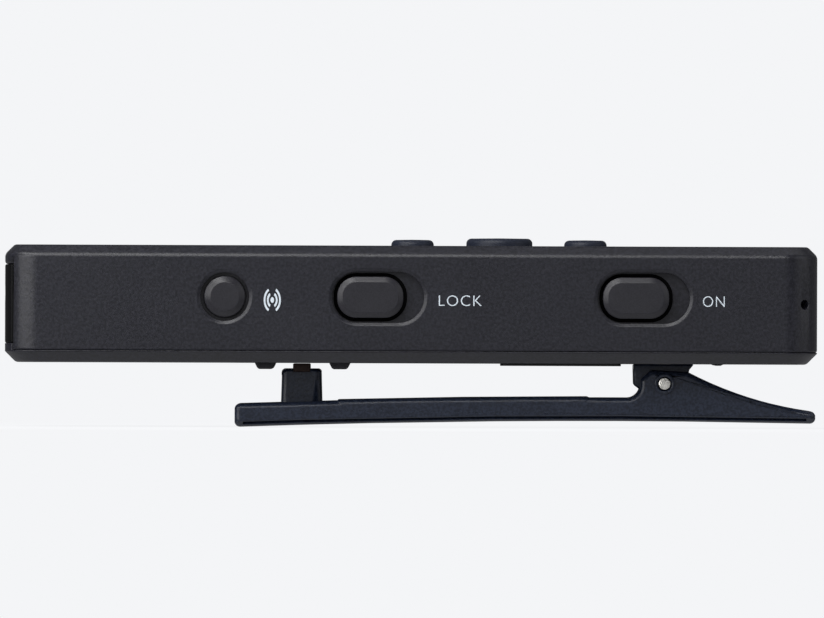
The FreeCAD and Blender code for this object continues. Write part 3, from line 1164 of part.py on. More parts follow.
def make_microphone():
    """The capsule in its rubber boot and the cloth disc behind the port."""
    spot = {"x": "Places.corner_x", "y": "Places.corner_y", "z": "Sizes.port_height"}
    turn = Rotation(Vector(0, 0, 1), number("Sizes.port_angle"))
    seat = "(Sizes.boot_wall - Sizes.boot_front)"
    wall_reach = "(Sizes.corner_radius - Sizes.wall)"
    mesh_front = f"sqrt({wall_reach} ^ 2 - Sizes.mesh_radius ^ 2) - Sizes.face_gap / 2"
    snout = f"({mesh_front} - Sizes.mesh_thick - Sizes.face_gap)"

    boot = start_body("microphone_boot", **spot)
    capsule = start_body("microphone_capsule", **spot)
    mesh = start_body("dust_mesh", **spot)
    for body in (boot, capsule, mesh):
        body.Placement = Placement(body.Placement.Base, turn)
        body.setExpression("Placement.Rotation.Angle", "Sizes.port_angle")

    section = sketch_on(boot, "BootSection", "XY_Plane")
    boot_radius = "Sizes.capsule_radius + Sizes.boot_wall"
    back = f"{seat} + Sizes.capsule_depth + Sizes.boot_front"
    draw_outline(section, (
        ("Sizes.port_radius", f"-{snout}", None),
        ("Sizes.snout_radius", f"-{snout}", None),
        ("Sizes.snout_radius", "-Sizes.boot_front", None),
        (boot_radius, "-Sizes.boot_front", None),
        (boot_radius, back, None),
        ("Sizes.capsule_radius", back, None),
        ("Sizes.capsule_radius", seat, None),
        ("Sizes.port_radius", seat, None),
    ))
    revolve(boot, section)
    rod(capsule, "CapsuleCan", ("0", seat, "0"), "Sizes.capsule_radius - Sizes.face_gap / 2",
        "Sizes.capsule_depth", axis="Y")
    rod(mesh, "MeshDisc", ("0", f"-({mesh_front})", "0"), "Sizes.mesh_radius",
        "Sizes.mesh_thick", axis="Y")


make_sheet()
make_places()
probe = doc.addObject("App::VarSet", "Probe")
probe.addProperty("App::PropertyFloat", "value")

make_front_housing()
make_back_cover()
make_end_cap()
make_rear_plate()
make_cover_screws()
make_clip_base()
make_clip_rivets()
make_clip_pin()
make_clip_spring()
make_clip_lever()
make_jaw_pad()
make_slide("hold", "Sizes.hold_x")
make_slide("power", "Places.power_x")
make_pair_button()
for key in KEYS:
    make_key(*key)
make_main_board()
make_battery()
make_radio()
make_jack()
make_charging_socket()
make_status_light()
make_microphone()

doc.removeObject("Probe")
doc.recompute()
for item in doc.Objects:
    if "Invalid" in item.State or "Error" in item.State:
        raise RuntimeError(f"{item.Name} failed: {item.State}")
sub_parts = [item for item in doc.Objects
             if item.TypeId == "PartDesign::Body" or item.Name == "clip_spring"]
for item in sub_parts:
    if item.Shape.isNull() or not item.Shape.isValid():
        raise RuntimeError(f"{item.Label} has no valid shape")

os.makedirs("parts", exist_ok=True)
for item in sub_parts:
    item.Shape.exportStep(f"parts/{item.Label}.step")
print(f"{len(sub_parts)} sub-parts written")
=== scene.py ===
"""Looks of a clip-on wireless microphone body unit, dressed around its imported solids.

Sizes are in millimetres and go into the meshes in metres, in the frame of the solids:
X runs along the housing, the switches face -Y and the keys face +Z.
"""

from __future__ import annotations

import json
import logging
import math
from dataclasses import dataclass
from enum import Enum
from typing import Callable, Mapping, Sequence

import bmesh
import bpy
import numpy as np
from mathutils import Matrix, Vector

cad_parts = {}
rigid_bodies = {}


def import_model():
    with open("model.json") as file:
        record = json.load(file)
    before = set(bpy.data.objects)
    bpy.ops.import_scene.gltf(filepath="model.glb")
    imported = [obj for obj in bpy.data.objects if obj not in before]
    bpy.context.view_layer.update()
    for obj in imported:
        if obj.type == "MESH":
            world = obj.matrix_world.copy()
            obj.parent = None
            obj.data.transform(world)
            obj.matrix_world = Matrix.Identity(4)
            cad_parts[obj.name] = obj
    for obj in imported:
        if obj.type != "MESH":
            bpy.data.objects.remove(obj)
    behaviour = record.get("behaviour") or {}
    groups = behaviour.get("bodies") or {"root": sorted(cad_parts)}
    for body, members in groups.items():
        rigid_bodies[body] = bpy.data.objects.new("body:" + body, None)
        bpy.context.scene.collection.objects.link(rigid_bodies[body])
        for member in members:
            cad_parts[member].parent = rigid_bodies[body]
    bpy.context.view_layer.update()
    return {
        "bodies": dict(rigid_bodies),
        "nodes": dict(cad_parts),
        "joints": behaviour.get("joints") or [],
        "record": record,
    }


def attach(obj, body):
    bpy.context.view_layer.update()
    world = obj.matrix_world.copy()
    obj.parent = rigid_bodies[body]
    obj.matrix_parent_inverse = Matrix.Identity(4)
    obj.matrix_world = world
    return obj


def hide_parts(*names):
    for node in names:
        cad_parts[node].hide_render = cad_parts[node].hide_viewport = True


LOG = logging.getLogger("microphone_unit")

# Metres in a millimetre, and where the near side face lies along Y
MM = 0.001
SIDE_FACE = -12.0

# Radius of the last ring of a turned piece, and the turn in degrees from which it stays sharp
LAST_RING = 0.02
SHARP_TURN = 50.0

# The turn in radians and the distance in millimetres that count as none
STRAIGHT = 1e-4
SAME_SPOT = 1e-9

# Short names of types
Triple = tuple[float, float, float]
Colour = Triple
Line = Sequence[Triple]
Moves = tuple[tuple[int, float, float], ...]
Piece = bpy.types.Object
Tree = bpy.types.NodeTree
Socket = bpy.types.NodeSocket
Outputs = Mapping[str, Socket]
Inputs = dict[str, object]


# Shapes

class Facing(Enum):
    """The frame directions of a piece's own right, up and out."""

    SIDE = ((1, 0, 0), (0, 0, 1), (0, -1, 0))
    FRONT = ((1, 0, 0), (0, 1, 0), (0, 0, 1))


@dataclass(frozen=True)
class Seat:
    """Where a piece sits: its origin in the frame and the way it faces."""

    x: float
    y: float
    z: float
    facing: Facing

    def place(self, points: np.ndarray) -> np.ndarray:
        """Carry points from right, up and out into the frame, in metres.

        Each point is the origin plus right, up and out times its own three numbers.

        Args:
            points: Rows of right, up and out in millimetres.

        Returns:
            Rows of x, y and z in metres.
        """
        axes = np.array(self.facing.value, float)
        return (points @ axes + np.array((self.x, self.y, self.z))) * MM


@dataclass(frozen=True)
class Surface:
    """The corners of a mesh and the polygons that join them."""

    points: np.ndarray
    polygons: list[tuple[int, ...]]

    def joined(self, other: Surface) -> Surface:
        """Both surfaces as one, with the other's polygons counted on from these corners.

        Args:
            other: The surface that is added.

        Returns:
            One surface with the corners and polygons of both.
        """
        start = len(self.points)
        moved = [tuple(corner + start for corner in polygon) for polygon in other.polygons]
        return Surface(np.vstack((self.points, other.points)), self.polygons + moved)


def soft_line(corners: Line, steps: int = 6) -> np.ndarray:
    """A line through corners, each rounded by its own radius.

    A rounded corner is an arc that touches both sides: it starts and ends at the radius times
    the tangent of half the turn from the corner, and its points are blended between the two
    spokes by the sines of the angles left and gone.

    Args:
        corners: Rows of two places and a radius. The first and last radius are not used.
        steps: Points on each arc.

    Returns:
        Rows of two places.
    """
    places = np.array([corner[:2] for corner in corners], float)
    ways = np.diff(places, axis=0)
    ways /= np.linalg.norm(ways, axis=1)[:, None]
    shares = np.linspace(0.0, 1.0, steps)[:, None]
    stretches = [places[:1]]
    for index in range(1, len(places) - 1):
        before, after = ways[index - 1], ways[index]
        turn = math.acos(float(np.clip(before @ after, -1.0, 1.0)))
        radius = corners[index][2]
        if radius <= 0 or turn < STRAIGHT:
            stretches.append(places[index:index + 1])
            continue
        reach = radius * math.tan(turn / 2)
        start, end = places[index] - before * reach, places[index] + after * reach
        inward = after - before
        centre = places[index] + inward / np.linalg.norm(inward) * radius / math.cos(turn / 2)
        spokes = (start - centre, end - centre)
        blend = np.sin((1 - shares) * turn) * spokes[0] + np.sin(shares * turn) * spokes[1]
        stretches.append(centre + blend / math.sin(turn))
    stretches.append(places[-1:])
    return np.vstack(stretches)


def ways_round(turns: np.ndarray) -> np.ndarray:
    """The ways at angles in radians, as rows of cosine and sine."""
    return np.stack((np.cos(turns), np.sin(turns)), axis=1)


@dataclass(frozen=True)
class Loft:
    """A rounded outline carried along a profile of insets and heights.

    At each row the outline moves inwards by the inset. Its corner radius shrinks by the same
    until it is nothing, and its corners' centres close in by what is left over.
    """

    half_length: float
    half_width: float
    corner: float
    steps: int = 12

    def outline(self) -> tuple[np.ndarray, np.ndarray]:
        """The corner centres and the ways out from them, counterclockwise.

        Where two quarter turns meet in one point, that point is kept once.

        Returns:
            Rows of right and up for the centres, and as many for the ways.
        """
        quarter = np.linspace(0.0, math.pi / 2, self.steps)
        turns = (np.arange(4)[:, None] * math.pi / 2 + quarter).ravel()
        signs = np.repeat(np.array(((1, 1), (-1, 1), (-1, -1), (1, -1)), float), self.steps, axis=0)
        reach = np.array((self.half_length - self.corner, self.half_width - self.corner))
        centres, ways = signs * reach, ways_round(turns)
        spots = centres + ways * self.corner
        kept = np.linalg.norm(spots - np.roll(spots, -1, axis=0), axis=1) > SAME_SPOT
        return centres[kept], ways[kept]

    def surface(self, profile: np.ndarray) -> Surface:
        """The skin over every row, with both ends drawn together in one point.

        Args:
            profile: Rows of inset and height, from the first ring to the last.

        Returns:
            The surface, in right, up and out.
        """
        centres, ways = self.outline()
        inset, height = profile[:, 0], profile[:, 1]
        bend = np.clip(self.corner - inset, 0.0, None)
        left_over = np.clip(inset - self.corner, 0.0, None)
        pulled = np.sign(centres) * np.clip(np.abs(centres) - left_over[:, None, None], 0.0, None)
        flat = pulled + ways * bend[:, None, None]
        rows, columns = flat.shape[:2]
        rise = np.broadcast_to(height[:, None, None], (rows, columns, 1))
        ring = np.concatenate((flat, rise), axis=2).reshape(-1, 3)
        poles = np.array(((0.0, 0.0, height[0]), (0.0, 0.0, height[-1])))
        start = np.arange(rows - 1)[:, None] * columns
        along = np.arange(columns)
        following = (along + 1) % columns
        quads = np.stack((start + along, start + following,
                          start + columns + following, start + columns + along), axis=-1)
        last = (rows - 1) * columns
        top = np.stack((last + along, last + following, np.full(columns, len(ring) + 1)), axis=1)
        bottom = np.stack((following, along, np.full(columns, len(ring))), axis=1)
        polygons = [tuple(corners) for part in (quads.reshape(-1, 4), top, bottom)
                    for corners in part.tolist()]
        return Surface(np.vstack((ring, poles)), polygons)


def ribbon(middle: np.ndarray, width: float) -> Surface:
    """A flat band of one width along a line in the plane of right and up.

    Its two edges are the line moved by half the width along the normals of the line.

    Args:
        middle: Rows of right and up.
        width: The band's width.

    Returns:
        The surface, at a height of nothing.
    """
    ways = np.gradient(middle, axis=0)
    ways /= np.linalg.norm(ways, axis=1)[:, None]
    sides = np.stack((-ways[:, 1], ways[:, 0]), axis=1) * width / 2
    points = np.zeros((2 * len(middle), 3))
    points[:len(middle), :2] = middle - sides
    points[len(middle):, :2] = middle + sides
    low = np.arange(len(middle) - 1)
    quads = np.stack((low, low + 1, low + 1 + len(middle), low + len(middle)), axis=1)
    return Surface(points, [tuple(quad) for quad in quads.tolist()])


def linked(name: str, data: bpy.types.ID) -> Piece:
    """Put a mesh, a curve, a lamp or a camera into the scene.

    Args:
        name: The object's name.
        data: What it shows.

    Returns:
        The new object.
    """
    made = bpy.data.objects.new(name, data)
    bpy.context.scene.collection.objects.link(made)
    return made


def add_object(name: str, points: np.ndarray, polygons: list[tuple[int, ...]]) -> Piece:
    """Make a mesh object at the origin from corners in metres.

    Args:
        name: The piece's name.
        points: Rows of x, y and z.
        polygons: Corner numbers of each polygon.

    Returns:
        The linked object, shaded smooth.
    """
    mesh = bpy.data.meshes.new(name)
    mesh.from_pydata(points.tolist(), [], polygons)
    mesh.validate()
    mesh.shade_smooth()
    return linked(name, mesh)


def weigh_normals(piece: Piece) -> None:
    """Let the large faces of a piece keep their own shading beside its soft edges."""
    piece.modifiers.new("Even shading", "WEIGHTED_NORMAL").keep_sharp = True


def stand_in(node: str, skin: Surface, seat: Seat) -> Piece:
    """A piece that stands for one of the solids, with hard lines where it turns steeply.

    Args:
        node: The solid that it stands for.
        skin: Its surface, in right, up and out.
        seat: Where it sits.

    Returns:
        The linked object.
    """
    piece = add_object(f"{node}_cap", seat.place(skin.points), skin.polygons)
    piece.data.set_sharp_from_angle(angle=math.radians(SHARP_TURN))
    weigh_normals(piece)
    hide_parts(node)
    return piece


def read(items: bpy.types.bpy_prop_collection, name: str, kind: type, width: int = 1) -> np.ndarray:
    """One property of every item of a mesh, in rows where it has more than one number.

    Args:
        items: The corners, edges, loops or polygons.
        name: The property.
        kind: The type of its numbers.
        width: How many numbers it has.

    Returns:
        The numbers.
    """
    values = np.empty(len(items) * width, kind)
    items.foreach_get(name, values)
    return values.reshape(-1, width) if width > 1 else values


# Copies of the solids with soft edges

@dataclass(frozen=True)
class SoftEdge:
    """A width for the outer edges whose middles pass a test and that turn enough, in degrees."""

    width: float
    test: Callable[[np.ndarray], np.ndarray]
    least_turn: float = 28.0


@dataclass(frozen=True)
class Space:
    """A box in millimetres, from its low to its high corner."""

    low: Triple
    high: Triple

    def __call__(self, spots: np.ndarray) -> np.ndarray:
        """Which of the spots lie in the box."""
        return np.all((spots >= np.array(self.low)) & (spots <= np.array(self.high)), axis=1)


EVERYWHERE = Space((-math.inf,) * 3, (math.inf,) * 3)


@dataclass(frozen=True)
class Groove:
    """A groove along the two sloping bands under a moulding's side faces.

    It runs between two distances from each side face, measured along Y, and between two ends.
    """

    face: float
    near: float
    far: float
    left: float
    right: float
    depth: float
    lip: float = 0.02
    least_slope: float = 0.6
    band: float = 0.7
    snap: float = 1e-4
    top: float = 1.5
    margin: float = 0.1

    def holds(self, spots: np.ndarray) -> np.ndarray:
        """Which spots lie at the groove."""
        inset = self.face - np.abs(spots[:, 1])
        return (spots[:, 2] < self.top) & (inset > self.near / 2) & (inset < self.far + self.margin)

    def on_band(self, face: bmesh.types.BMFace) -> bool:
        """Whether a face slopes down and outwards at the moulding's side."""
        sloping = abs(face.normal.y) > self.least_slope and face.normal.z < -self.least_slope
        return sloping and abs(face.calc_center_median().y) / MM > self.face - self.band

    def in_groove(self, face: bmesh.types.BMFace) -> bool:
        """Whether a face of the band lies between the groove's bounds.

        Args:
            face: A face of the mesh that is cut.

        Returns:
            True where it is sunk.
        """
        middle = face.calc_center_median() / MM
        inset = self.face - abs(middle.y)
        return self.on_band(face) and self.near < inset < self.far and self.left < middle.x < self.right

    def cut(self, shell: bmesh.types.BMesh) -> None:
        """Part the bands along the groove's bounds and sink what lies between.

        Args:
            shell: The mesh that is changed.
        """
        rows = [((x, 0.0, 0.0), (1.0, 0.0, 0.0)) for x in (self.left, self.right)]
        rows += [((0.0, side * (self.face - inset), 0.0), (0.0, 1.0, 0.0))
                 for side in (-1, 1) for inset in (self.near, self.far)]
        for place, across in rows:
            band = [face for face in shell.faces if self.on_band(face)]
            edges = list({edge for face in band for edge in face.edges})
            corners = list({corner for face in band for corner in face.verts})
            bmesh.ops.bisect_plane(shell, geom=corners + edges + band, dist=self.snap * MM,
                                   plane_co=Vector(place) * MM, plane_no=across)
        sunk = [face for face in shell.faces if self.in_groove(face)]
        bmesh.ops.inset_region(shell, faces=sunk, thickness=self.lip * MM, depth=-self.depth * MM,
                               use_even_offset=True)


@dataclass(frozen=True)
class Lip:
    """A flat slope round the openings of the side face, wide along it and shallow into it."""

    zone: Space
    face: float = SIDE_FACE
    width: float = 0.27
    depth: float = 0.15
    least_turn: float = 80.0

    def edges(self, shell: bmesh.types.BMesh) -> list[bmesh.types.BMEdge]:
        """The square edges with both ends in the zone.

        Args:
            shell: The merged surface.

        Returns:
            Those edges.
        """
        turn = math.radians(self.least_turn)
        return [edge for edge in shell.edges
                if len(edge.link_faces) == 2 and edge.calc_face_angle(0.0) > turn
                and self.zone(np.array([end.co for end in edge.verts]) / MM).all()]

    def cut(self, shell: bmesh.types.BMesh) -> None:
        """Cut an even slope, then lift its inner corners towards the face.

        Args:
            shell: The merged surface.
        """
        made = bmesh.ops.bevel(shell, geom=self.edges(shell), offset=self.width * MM, segments=1,
                               profile=0.5, affect="EDGES", loop_slide=False, clamp_overlap=False)
        middle = (self.face + self.width / 2) * MM
        inner = {corner for face in made["faces"] for corner in face.verts if corner.co.y > middle}
        bmesh.ops.translate(shell, vec=(0.0, (self.depth - self.width) * MM, 0.0), verts=list(inner))


@dataclass(frozen=True)
class SoftCopy:
    """One solid's own surface, merged, with its chosen outer edges rounded.

    Moves lists an axis, a level and its new level, so that a flush piece closes its slit.
    """

    node: str
    edges: tuple[SoftEdge, ...]
    moves: Moves = ()
    groove: Groove | None = None
    lip: Lip | None = None
    sharp_turn: float = 28.0
    flat_turn: float = 0.4
    same_corner: float = 1e-4
    same_level: float = 0.005
    segments: int = 3

    def merged(self) -> Piece:
        """The solid's triangles with shared corners and flat neighbours made one.

        Returns:
            The new object.
        """
        source = bpy.data.objects[self.node].data
        spots = read(source.vertices, "co", np.float32, 3).astype(float)
        for axis, level, moved in self.moves:
            spots[np.abs(spots[:, axis] / MM - level) < self.same_level, axis] = moved * MM
        _, first, inverse = np.unique(
            np.round(spots / (MM * self.same_corner)).astype(np.int64), axis=0,
            return_index=True, return_inverse=True)
        triangles = inverse.ravel()[read(source.loops, "vertex_index", np.int32)].reshape(-1, 3)
        thin = (triangles == np.roll(triangles, 1, axis=1)).any(axis=1)
        piece = add_object(f"{self.node}_skin", spots[first],
                           [tuple(row) for row in triangles[~thin].tolist()])
        shell = bmesh.new()
        shell.from_mesh(piece.data)
        bmesh.ops.dissolve_limit(shell, angle_limit=math.radians(self.flat_turn), verts=shell.verts,
                                 edges=shell.edges, use_dissolve_boundaries=False)
        if self.groove:
            self.groove.cut(shell)
        if self.lip:
            self.lip.cut(shell)
        shell.to_mesh(piece.data)
        shell.free()
        return piece

    def turns(self, mesh: bpy.types.Mesh) -> tuple[np.ndarray, np.ndarray]:
        """The middle of each edge in millimetres and its turn in degrees, less than 0 in a hollow.

        The turn is the arc cosine of the dot product of the two faces' normals. The edge is a
        hollow where the way into the second face, which is its normal crossed with the edge,
        rises over the first face.

        Args:
            mesh: A closed mesh.

        Returns:
            The middles and the turns. An edge without two faces counts as flat.
        """
        corners = read(mesh.vertices, "co", np.float32, 3)
        middles = corners[read(mesh.edges, "vertices", np.int32, 2)].mean(axis=1) / MM
        edge_of_loop = read(mesh.loops, "edge_index", np.int32)
        start_of_loop = read(mesh.loops, "vertex_index", np.int32)
        sides = read(mesh.polygons, "loop_total", np.int32)
        following = np.arange(1, len(mesh.loops) + 1)
        following[np.cumsum(sides) - 1] = np.cumsum(sides) - sides
        along = corners[start_of_loop[following]] - corners[start_of_loop]
        face_of_loop = np.repeat(np.arange(len(sides)), sides)
        order = np.argsort(edge_of_loop, kind="stable")
        counts = np.bincount(edge_of_loop, minlength=len(mesh.edges))
        paired = np.flatnonzero(counts == 2)
        starts = (np.cumsum(counts) - counts)[paired]
        first, second = order[starts], order[starts + 1]
        outward = read(mesh.polygons, "normal", np.float32, 3)[face_of_loop]
        cosines = np.einsum("ij,ij->i", outward[first], outward[second])
        inward = np.cross(outward[second], along[second])
        signs = np.where(np.einsum("ij,ij->i", outward[first], inward) > 0, -1.0, 1.0)
        turns = np.zeros(len(mesh.edges))
        turns[paired] = signs * np.degrees(np.arccos(np.clip(cosines, -1.0, 1.0)))
        return middles, turns

    def build(self) -> Piece:
        """The merged copy, with a weight on each edge that is rounded.

        Returns:
            The object that stands for the solid.
        """
        piece = self.merged()
        middles, turns = self.turns(piece.data)
        widths = np.zeros(len(turns))
        for rule in self.edges:
            widths[(turns > rule.least_turn) & rule.test(middles)] = rule.width
        widest = max(rule.width for rule in self.edges)
        weight = piece.data.attributes.new("bevel_weight_edge", "FLOAT", "EDGE")
        weight.data.foreach_set("value", (widths / widest).astype(np.float32))
        sharp = piece.data.attributes.new("sharp_edge", "BOOLEAN", "EDGE")
        sharp.data.foreach_set("value", (np.abs(turns) > self.sharp_turn) & (widths == 0))
        rounding = piece.modifiers.new("Soft edges", "BEVEL")
        rounding.width = widest * MM
        rounding.segments = self.segments
        rounding.limit_method = "WEIGHT"
        rounding.use_clamp_overlap = False
        rounding.loop_slide = False
        rounding.miter_outer = "MITER_ARC"
        weigh_normals(piece)
        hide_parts(self.node)
        return piece


# Shared effects

class Wiring:
    """Adds nodes to one tree and links them."""

    def __init__(self, tree: Tree) -> None:
        """Keep the tree that the nodes go into."""
        self.tree = tree

    def feed(self, socket: Socket, value: object) -> None:
        """Link an output to an input socket, or set the input's own value.

        Args:
            socket: The input.
            value: An output socket, a number, a colour or a vector.
        """
        if isinstance(value, Socket):
            self.tree.links.new(value, socket)
        else:
            socket.default_value = value

    def add(self, kind: str, inputs: dict[str, object] | None = None, **options: object) -> bpy.types.Node:
        """A node with its options set and its inputs set or linked.

        Args:
            kind: The node's type name.
            inputs: A value or an output socket for each input, by name or number.
            options: Attributes of the node itself.

        Returns:
            The new node.
        """
        node = self.tree.nodes.new(kind)
        for name, value in options.items():
            setattr(node, name, value)
        for name, value in (inputs or {}).items():
            self.feed(node.inputs[int(name)] if name.isdigit() else node.inputs[name], value)
        return node

    def group(self, tree: Tree, inputs: dict[str, object]) -> Outputs:
        """The outputs of a shared effect with its own inputs."""
        return self.add("ShaderNodeGroup", inputs, node_tree=tree).outputs

    def maths(self, operation: str, first: object, second: object, clamp: bool = False) -> Socket:
        """The result of one sum on two numbers or sockets."""
        node = self.add("ShaderNodeMath", {"0": first, "1": second}, operation=operation, use_clamp=clamp)
        return node.outputs[0]

    def spread(self, value: Socket, low: object, high: object, start: float = 0.0,
               end: float = 1.0) -> Socket:
        """A number from low to high as the value runs from start to end, held at both."""
        node = self.add("ShaderNodeMapRange", {
            "Value": value, "From Min": start, "From Max": end, "To Min": low, "To Max": high})
        return node.outputs[0]

    def mix_colour(self, share: object, first: object, second: object) -> Socket:
        """One colour blended into another."""
        node = self.add("ShaderNodeMix", {"0": share, "6": first, "7": second}, data_type="RGBA")
        return node.outputs[2]

    def noise(self, vector: Socket, scale: object, detail: float, roughness: float = 0.5,
              distortion: float = 0.0) -> Socket:
        """Soft noise about one half."""
        return self.add("ShaderNodeTexNoise", {
            "Vector": vector, "Scale": scale, "Detail": detail, "Roughness": roughness,
            "Distortion": distortion}).outputs[0]

    def swing(self, noise: Socket, roughness: Socket, reach: Socket, clamp: bool = False) -> Socket:
        """A roughness that swings by its reach as the noise swings about one half."""
        share = self.maths("MULTIPLY", self.maths("SUBTRACT", noise, 0.5), reach)
        return self.maths("ADD", roughness, share, clamp)

    def bump(self, height: Socket, strength: float, depth: float) -> Socket:
        """The normal of a relief with a depth in millimetres."""
        return self.add("ShaderNodeBump", {
            "Height": height, "Strength": strength, "Distance": depth * MM}).outputs["Normal"]


class SharedEffects:
    """The node groups that several finishes use, each built once.

    The scales are shares of a group's own scale, or cells in a metre for the specks of dust.
    """

    FINE_SCALE = 1.7
    FINE_SHARE = 0.8
    PEBBLE_SHARE = 0.7
    DRIFT_SCALE = 0.06
    DRIFT_SHARE = 0.35
    STAIN_SCALE = 0.08
    SPECK_SCALE = 5200.0

    def __init__(self) -> None:
        """Build every group."""
        self.grain = self.make_grain()
        self.handling = self.make_handling()
        self.dust = self.make_dust()
        self.brushing = self.make_brushing()

    @staticmethod
    def start(name: str, inputs: dict[str, object]) -> tuple[Wiring, Outputs]:
        """A new group with its named inputs.

        Args:
            name: The group's name.
            inputs: The first value of each input, a number or a colour, or None for a vector.

        Returns:
            The wiring of the group's tree and the inputs as they come into it.
        """
        tree = bpy.data.node_groups.new(name, "ShaderNodeTree")
        kinds = {type(None): "NodeSocketVector", float: "NodeSocketFloat", tuple: "NodeSocketColor"}
        for label, value in inputs.items():
            socket = tree.interface.new_socket(label, in_out="INPUT", socket_type=kinds[type(value)])
            if value is not None:
                socket.default_value = value
        wiring = Wiring(tree)
        return wiring, wiring.add("NodeGroupInput").outputs

    @staticmethod
    def finish(wiring: Wiring, results: dict[str, Socket]) -> Tree:
        """The finished group, which puts its results out by their names.

        Args:
            wiring: The wiring of the group's tree.
            results: The socket of each result.

        Returns:
            The group's tree.
        """
        for label, socket in results.items():
            kind = "NodeSocketColor" if socket.type == "RGBA" else "NodeSocketFloat"
            wiring.tree.interface.new_socket(label, in_out="OUTPUT", socket_type=kind)
        wiring.add("NodeGroupOutput", results)
        return wiring.tree

    def make_grain(self) -> Tree:
        """Pebbled moulding grain: small cells over fine noise, with slow drifts of colour.

        Returns:
            The group's tree.
        """
        wiring, given = self.start("Moulded grain", {
            "Vector": None, "Grain Scale": 3000.0, "Color": (0.03, 0.03, 0.03, 1.0),
            "Drift Color": (0.04, 0.04, 0.04, 1.0), "Roughness": 0.5, "Roughness Spread": 0.1})
        vector, scale = given["Vector"], given["Grain Scale"]
        noise = wiring.noise(vector, wiring.maths("MULTIPLY", scale, self.FINE_SCALE), detail=2.0,
                             roughness=0.55)
        cells = wiring.add("ShaderNodeTexVoronoi", {"Vector": vector, "Scale": scale, "Smoothness": 0.6},
                           feature="SMOOTH_F1")
        drift = wiring.noise(vector, wiring.maths("MULTIPLY", scale, self.DRIFT_SCALE), detail=3.0,
                             roughness=0.6)
        pebbles = wiring.maths("MULTIPLY", cells.outputs["Distance"], self.PEBBLE_SHARE)
        height = wiring.maths("ADD", wiring.maths("MULTIPLY", noise, self.FINE_SHARE), pebbles)
        speck = wiring.spread(noise, low=0.0, high=0.65, start=0.4, end=0.6)
        share = wiring.maths("ADD", wiring.maths("MULTIPLY", drift, self.DRIFT_SHARE), speck, clamp=True)
        return self.finish(wiring, {
            "Color": wiring.mix_colour(share, given["Color"], given["Drift Color"]),
            "Roughness": wiring.swing(noise, given["Roughness"], given["Roughness Spread"]),
            "Height": height})

    def make_handling(self) -> Tree:
        """Faint smears of touch that change the roughness in soft patches.

        Returns:
            The group's tree.
        """
        wiring, given = self.start("Handling", {
            "Vector": None, "Roughness": 0.5, "Amount": 0.08, "Patch Scale": 150.0})
        patches = wiring.noise(given["Vector"], given["Patch Scale"], detail=4.0, roughness=0.65,
                               distortion=1.2)
        swing = wiring.spread(patches, low=-0.5, high=0.5, start=0.35, end=0.65)
        share = wiring.maths("MULTIPLY", swing, given["Amount"])
        return self.finish(wiring, {
            "Roughness": wiring.maths("ADD", given["Roughness"], share, clamp=True)})

    def make_dust(self) -> Tree:
        """Fine dust that settles on faces that look up.

        Returns:
            The group's tree.
        """
        wiring, given = self.start("Settled dust", {
            "Vector": None, "Color": (0.03, 0.03, 0.03, 1.0), "Dust Color": (0.3, 0.29, 0.27, 1.0),
            "Amount": 0.05})
        normal = wiring.add("ShaderNodeNewGeometry").outputs["Normal"]
        upward = wiring.add("ShaderNodeSeparateXYZ", {"0": normal}).outputs["Z"]
        facing = wiring.spread(upward, low=0.0, high=1.0, start=0.3)
        specks = wiring.noise(given["Vector"], self.SPECK_SCALE, detail=3.0, roughness=0.7)
        settled = wiring.spread(specks, low=0.15, high=1.0, start=0.5, end=0.72)
        share = wiring.maths("MULTIPLY", wiring.maths("MULTIPLY", facing, settled), given["Amount"])
        return self.finish(wiring, {"Color": wiring.mix_colour(share, given["Color"], given["Dust Color"])})

    def make_brushing(self) -> Tree:
        """Fine drawn lines along one axis, as rolled or turned metal has.

        Returns:
            The group's tree.
        """
        wiring, given = self.start("Drawn lines", {
            "Vector": None, "Line Scale": 4000.0, "Color": (0.5, 0.5, 0.5, 1.0),
            "Dark Color": (0.4, 0.4, 0.4, 1.0), "Roughness": 0.3, "Roughness Spread": 0.1})
        vector, scale = given["Vector"], given["Line Scale"]
        lines = wiring.noise(vector, scale, detail=2.0, roughness=0.7)
        stains = wiring.noise(vector, wiring.maths("MULTIPLY", scale, self.STAIN_SCALE), detail=3.0)
        share = wiring.spread(stains, low=0.0, high=1.0, start=0.4, end=0.7)
        return self.finish(wiring, {
            "Color": wiring.mix_colour(share, given["Color"], given["Dark Color"]),
            "Roughness": wiring.swing(lines, given["Roughness"], given["Roughness Spread"], clamp=True),
            "Height": lines})


# Finishes

def opaque(colour: Colour) -> tuple[float, float, float, float]:
    """A colour with full cover."""
    return (*colour, 1.0)


class Bench(Wiring):
    """The nodes of one material, with its shader, its object coordinates and the shared effects."""

    def __init__(self, material: bpy.types.Material, effects: SharedEffects) -> None:
        """Start from the shader that a new material has.

        Args:
            material: A new material with nodes.
            effects: The shared node groups.
        """
        super().__init__(material.node_tree)
        self.effects = effects
        self.shader = next(node for node in self.tree.nodes if node.type == "BSDF_PRINCIPLED")
        self.place = self.add("ShaderNodeTexCoord").outputs["Object"]

    def touched(self, roughness: object, amount: float) -> Socket:
        """A roughness with smears of touch."""
        return self.group(self.effects.handling, {
            "Vector": self.place, "Roughness": roughness, "Amount": amount})["Roughness"]


class Finish:
    """What every finish shares: one material around one shader."""

    def build(self, name: str, effects: SharedEffects) -> bpy.types.Material:
        """A material whose shader takes what the finish puts out.

        Args:
            name: The material's name.
            effects: The shared node groups.

        Returns:
            The finished material.
        """
        material = bpy.data.materials.new(name)
        material.use_nodes = True
        bench = Bench(material, effects)
        for label, value in self.inputs(bench).items():
            bench.feed(bench.shader.inputs[label], value)
        return material

    def inputs(self, bench: Bench) -> Inputs:
        """A value or a socket for each named input of the shader."""
        raise NotImplementedError


